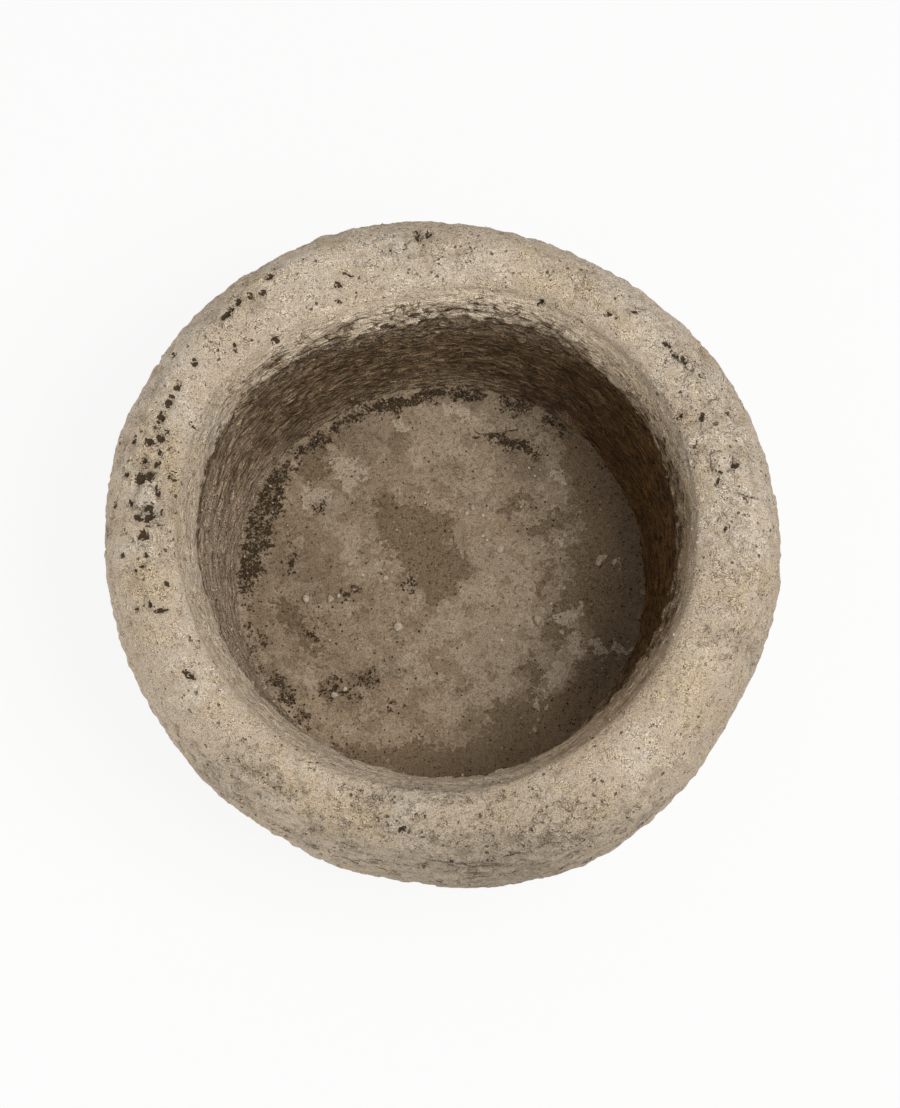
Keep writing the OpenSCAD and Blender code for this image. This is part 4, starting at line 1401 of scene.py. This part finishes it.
def silt_material(look):
    """Packed silt: dry silt with dusty, dim, brown, wet and limed patches and small blotches, the wet ones
    partly painted shadow over the right and front, black grit with holes in it, dark and pale specks,
    painted shade in small pits, and one scratched line."""
    material, n, shader, _ = new_material("packed_silt", 0.95)
    place = n.add("ShaderNodeTexCoord").outputs["Object"]
    grain = n.use("Worn Grain", Place=place, Size=0.0040)
    mottle = n.noise(place, 230, 4, 0.70)
    wander = n.noise(place, 130, 2.5, 0.60)
    dusty, limed, dim, brown, damp_and_shade, grit = (
        n.edge(name, wander, shake, softness) for name, shake, softness in
        (("dusty", 5.0, 0.8), ("limed", 2.6, 0.4), ("dim", 3.8, 0.6),
         ("brown", 4.5, 2.0), ("damp_and_shade", 3.1, 0.4), ("grit", 3.2, 1.2)))
    blotch = n.plus(n.field("blotch"), n.ramp(wander, 0.30, 0.70, -0.30, 0.30, False))
    colour = n.coats(
        look.dry,
        (n.times(dusty, 0.33), look.lime),
        (n.times(dim, 0.50), look.damp_and_shade),
        (n.ramp(blotch, -0.34, -0.38, 0.0, 0.45), look.damp_and_shade),
        (n.ramp(blotch, 0.38, 0.42, 0.0, 0.34), look.lime),
        (n.times(brown, n.ramp(mottle, 0.46, 0.56), 0.60), look.brown),
        # Damp patches, and painted shadow over the right and front of the floor
        (n.times(damp_and_shade, n.ramp(mottle, 0.40, 0.56, 0.80, 1.0)), look.damp_and_shade),
        (n.times(limed, n.plus(0.95, n.times(damp_and_shade, -0.08))), look.lime),
    )
    slow = n.ramp(mottle, 0.38, 0.62, -1.0, 1.0, False)
    crisp = n.plus(
        1.0,
        n.times(grain["Sand"], n.plus(0.25, n.times(damp_and_shade, 0.06))),
        n.times(grain["Lump"], n.plus(0.08, n.times(damp_and_shade, 0.03))),
        # Painted shade in small pits
        n.times(grain["Pit"], -0.08),
        n.times(slow, n.plus(0.08, n.times(damp_and_shade, 0.10))),
        n.times(n.field("tone"), 0.12),
    )
    core = n.times(n.ramp(n.field("grit"), -5.0, 6.0, soft=False),
                   n.ramp(n.noise(place, 62, 1.0, 0.5), 0.38, 0.58, 0.1, 1.1))
    pepper = n.plus(n.noise(place, 400, 2.5, 0.62), n.times(core, 0.13))
    holes = n.times(grit, n.ramp(pepper, 0.505, 0.545))
    specks = n.use("Ragged Pits", Place=place, Shake=grain["Lump"], Size=0.0044,
                   Share=n.plus(0.22, n.times(grit, 0.30)), Reach=n.plus(0.14, n.times(grit, 0.08)))
    darker = n.math("LESS_THAN", specks["Odds"], n.plus(0.55, n.times(grit, -0.40)))
    dark = n.times(specks["Mask"], darker)
    light = n.math("SUBTRACT", specks["Mask"], dark)
    near_line = n.ramp(n.math("ABSOLUTE", n.field("scratch")), 0.35, 0.95, 1.0, 0.0)
    line = n.times(near_line, n.field("scratched"))
    colour = n.coats(
        n.shade(colour, crisp),
        (n.times(grit, n.plus(0.40, n.times(core, 0.50))), look.brown),
        (n.times(holes, 0.88), look.grit),
        (n.times(dark, 0.65), look.grit),
        (n.times(light, n.plus(0.55, n.times(grit, 0.35))), look.chip),
        (n.times(line, n.ramp(mottle, 0.40, 0.50, 0.3, 0.8)), look.grit),
    )
    height = n.plus(
        grain["Height"], n.times(mottle, 0.0020), n.times(dark, -0.0006), n.times(light, 0.0006),
        n.times(holes, -0.0016), n.times(damp_and_shade, -0.0002), n.times(line, -0.0008),
    )
    finish_material(n, shader, colour, height)
    return material


def chip_material(name, pale, dark, middle):
    """Chips of stone, each of its own shade between a dark and a pale colour."""
    material, n, shader, _ = new_material(name, 0.9)
    grain = n.use("Worn Grain", Place=n.add("ShaderNodeTexCoord").outputs["Object"], Size=0.0016)
    colour = n.mix(n.ramp(n.field("shade"), middle - 0.3, middle + 0.3), dark, pale)
    colour = n.shade(colour, n.plus(1.0, n.times(grain["Lump"], 0.18)))
    finish_material(n, shader, colour, grain["Height"])
    return material


def build_ground(look):
    """Plain ground that takes the object's shadow and otherwise shows almost white."""
    x, y, z = GROUND_REACH, GROUND_REACH, -GROUND_GAP
    points = np.array([(-x, -y, z), (x, -y, z), (x, y, z), (-x, y, z)])
    ground = make_mesh("ground", points, np.array([[0, 1, 2, 3]]), np.zeros((0, 3), int))
    material, n, shader, output = new_material("ground", 0.9)
    n.set(shader.inputs["Base Color"], look.ground)
    glow = n.add("ShaderNodeEmission", {"Color": (1, 1, 1, 1), "Strength": 1.0})
    path = n.add("ShaderNodeLightPath").outputs
    seen = n.math("MAXIMUM", path["Is Camera Ray"], path["Is Glossy Ray"])
    seen = n.math("MAXIMUM", seen, path["Is Transmission Ray"])
    mixed = n.add("ShaderNodeMixShader", {0: n.times(seen, 0.86), 1: shader.outputs[0], 2: glow.outputs[0]})
    n.set(output, mixed.outputs[0])
    ground.data.materials.append(material)
    return ground


def light_world(strength):
    """Even white light all round."""
    world = bpy.data.worlds.new("studio")
    world.use_nodes = True
    background = world.node_tree.nodes["Background"]
    background.inputs["Color"].default_value = (1, 1, 1, 1)
    background.inputs["Strength"].default_value = strength
    return world


def dress(piece, material, node):
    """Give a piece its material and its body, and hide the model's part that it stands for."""
    piece.data.materials.append(material)
    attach(piece, BODY)
    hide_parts(node)


class TROUGH_OT_stone(Operator):
    """Carve the block with its rim, neck and hollow, and the grains that stand out of it"""

    bl_idname = "trough.stone"
    bl_label = "Carve Stone"

    def execute(self, context):
        scene = context.scene
        piece, grid, normals, drawn, fields = build_stone(scene.trough_form)
        material = stone_material(scene.trough_stone)
        dress(piece, material, "stone_body")
        dress(build_grains(grid, normals, drawn, fields), material, "stone_body")
        return {"FINISHED"}


class TROUGH_OT_silt(Operator):
    """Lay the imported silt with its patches, and strew grit on it"""

    bl_idname = "trough.silt"
    bl_label = "Lay Silt"

    def execute(self, context):
        scene = context.scene
        look = scene.trough_silt
        piece, plan, z, fields = build_silt(scene.trough_form)
        dress(piece, silt_material(look), "silt_bed")
        grit = build_grit(plan, z, fields)
        dress(grit, chip_material("silt_grit", look.dry, look.grit, 0.60), "silt_bed")
        dress(build_chips(scene.trough_form), chip_material("pale_chip", look.chip, look.lime, 0.4),
              "silt_bed")
        return {"FINISHED"}


class TROUGH_OT_crumbs(Operator):
    """Scatter the loose crumbs of stone"""

    bl_idname = "trough.crumbs"
    bl_label = "Scatter Crumbs"

    def execute(self, context):
        look = context.scene.trough_stone
        dress(build_crumbs(), chip_material("limestone_chip", look.pale, look.warm, 0.3),
              "loose_crumbs")
        return {"FINISHED"}


class TROUGH_OT_stage(Operator):
    """Set the ground, the lights and the camera of the photograph"""

    bl_idname = "trough.stage"
    bl_label = "Set Stage"

    def execute(self, context):
        scene = context.scene
        look = scene.trough_stage
        point_camera()
        ground = build_ground(look)
        scene.world = light_world(look.fill)
        add_area("key_light", *KEY_LIGHT, look.key)
        add_area("side_light", *SIDE_LIGHT, look.side)
        scene.view_settings.view_transform = "Standard"
        return {"FINISHED"}


class TROUGH_PT_panel(Panel):
    """Panel that lists the settings and the pieces"""

    bl_idname = "TROUGH_PT_panel"
    bl_label = "Stone Trough Planter"
    bl_space_type = "VIEW_3D"
    bl_region_type = "UI"
    bl_category = "Trough"

    def draw(self, context):
        for name in SETTINGS:
            box = self.layout.box()
            group = getattr(context.scene, name)
            for field in group.__annotations__:
                box.prop(group, field)
        for operator in OPERATORS:
            self.layout.operator(operator.bl_idname)


SETTINGS = {
    "trough_form": TroughForm,
    "trough_stone": StoneLook,
    "trough_silt": SiltLook,
    "trough_stage": StageLook,
}
OPERATORS = (TROUGH_OT_stage, TROUGH_OT_stone, TROUGH_OT_silt, TROUGH_OT_crumbs)
CLASSES = (*SETTINGS.values(), *OPERATORS, TROUGH_PT_panel)


def register():
    """Register the classes and hang the settings on the scene."""
    for each in CLASSES:
        bpy.utils.register_class(each)
    for name, kind in SETTINGS.items():
        setattr(bpy.types.Scene, name, PointerProperty(type=kind))


def unregister():
    """Take the settings and classes away again."""
    for name in SETTINGS:
        delattr(bpy.types.Scene, name)
    for each in reversed(CLASSES):
        bpy.utils.unregister_class(each)


def main():
    """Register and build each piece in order."""
    register()
    for operator in OPERATORS:
        group, name = operator.bl_idname.split(".")
        getattr(getattr(bpy.ops, group), name)()


if __name__ == "__main__":
    main()
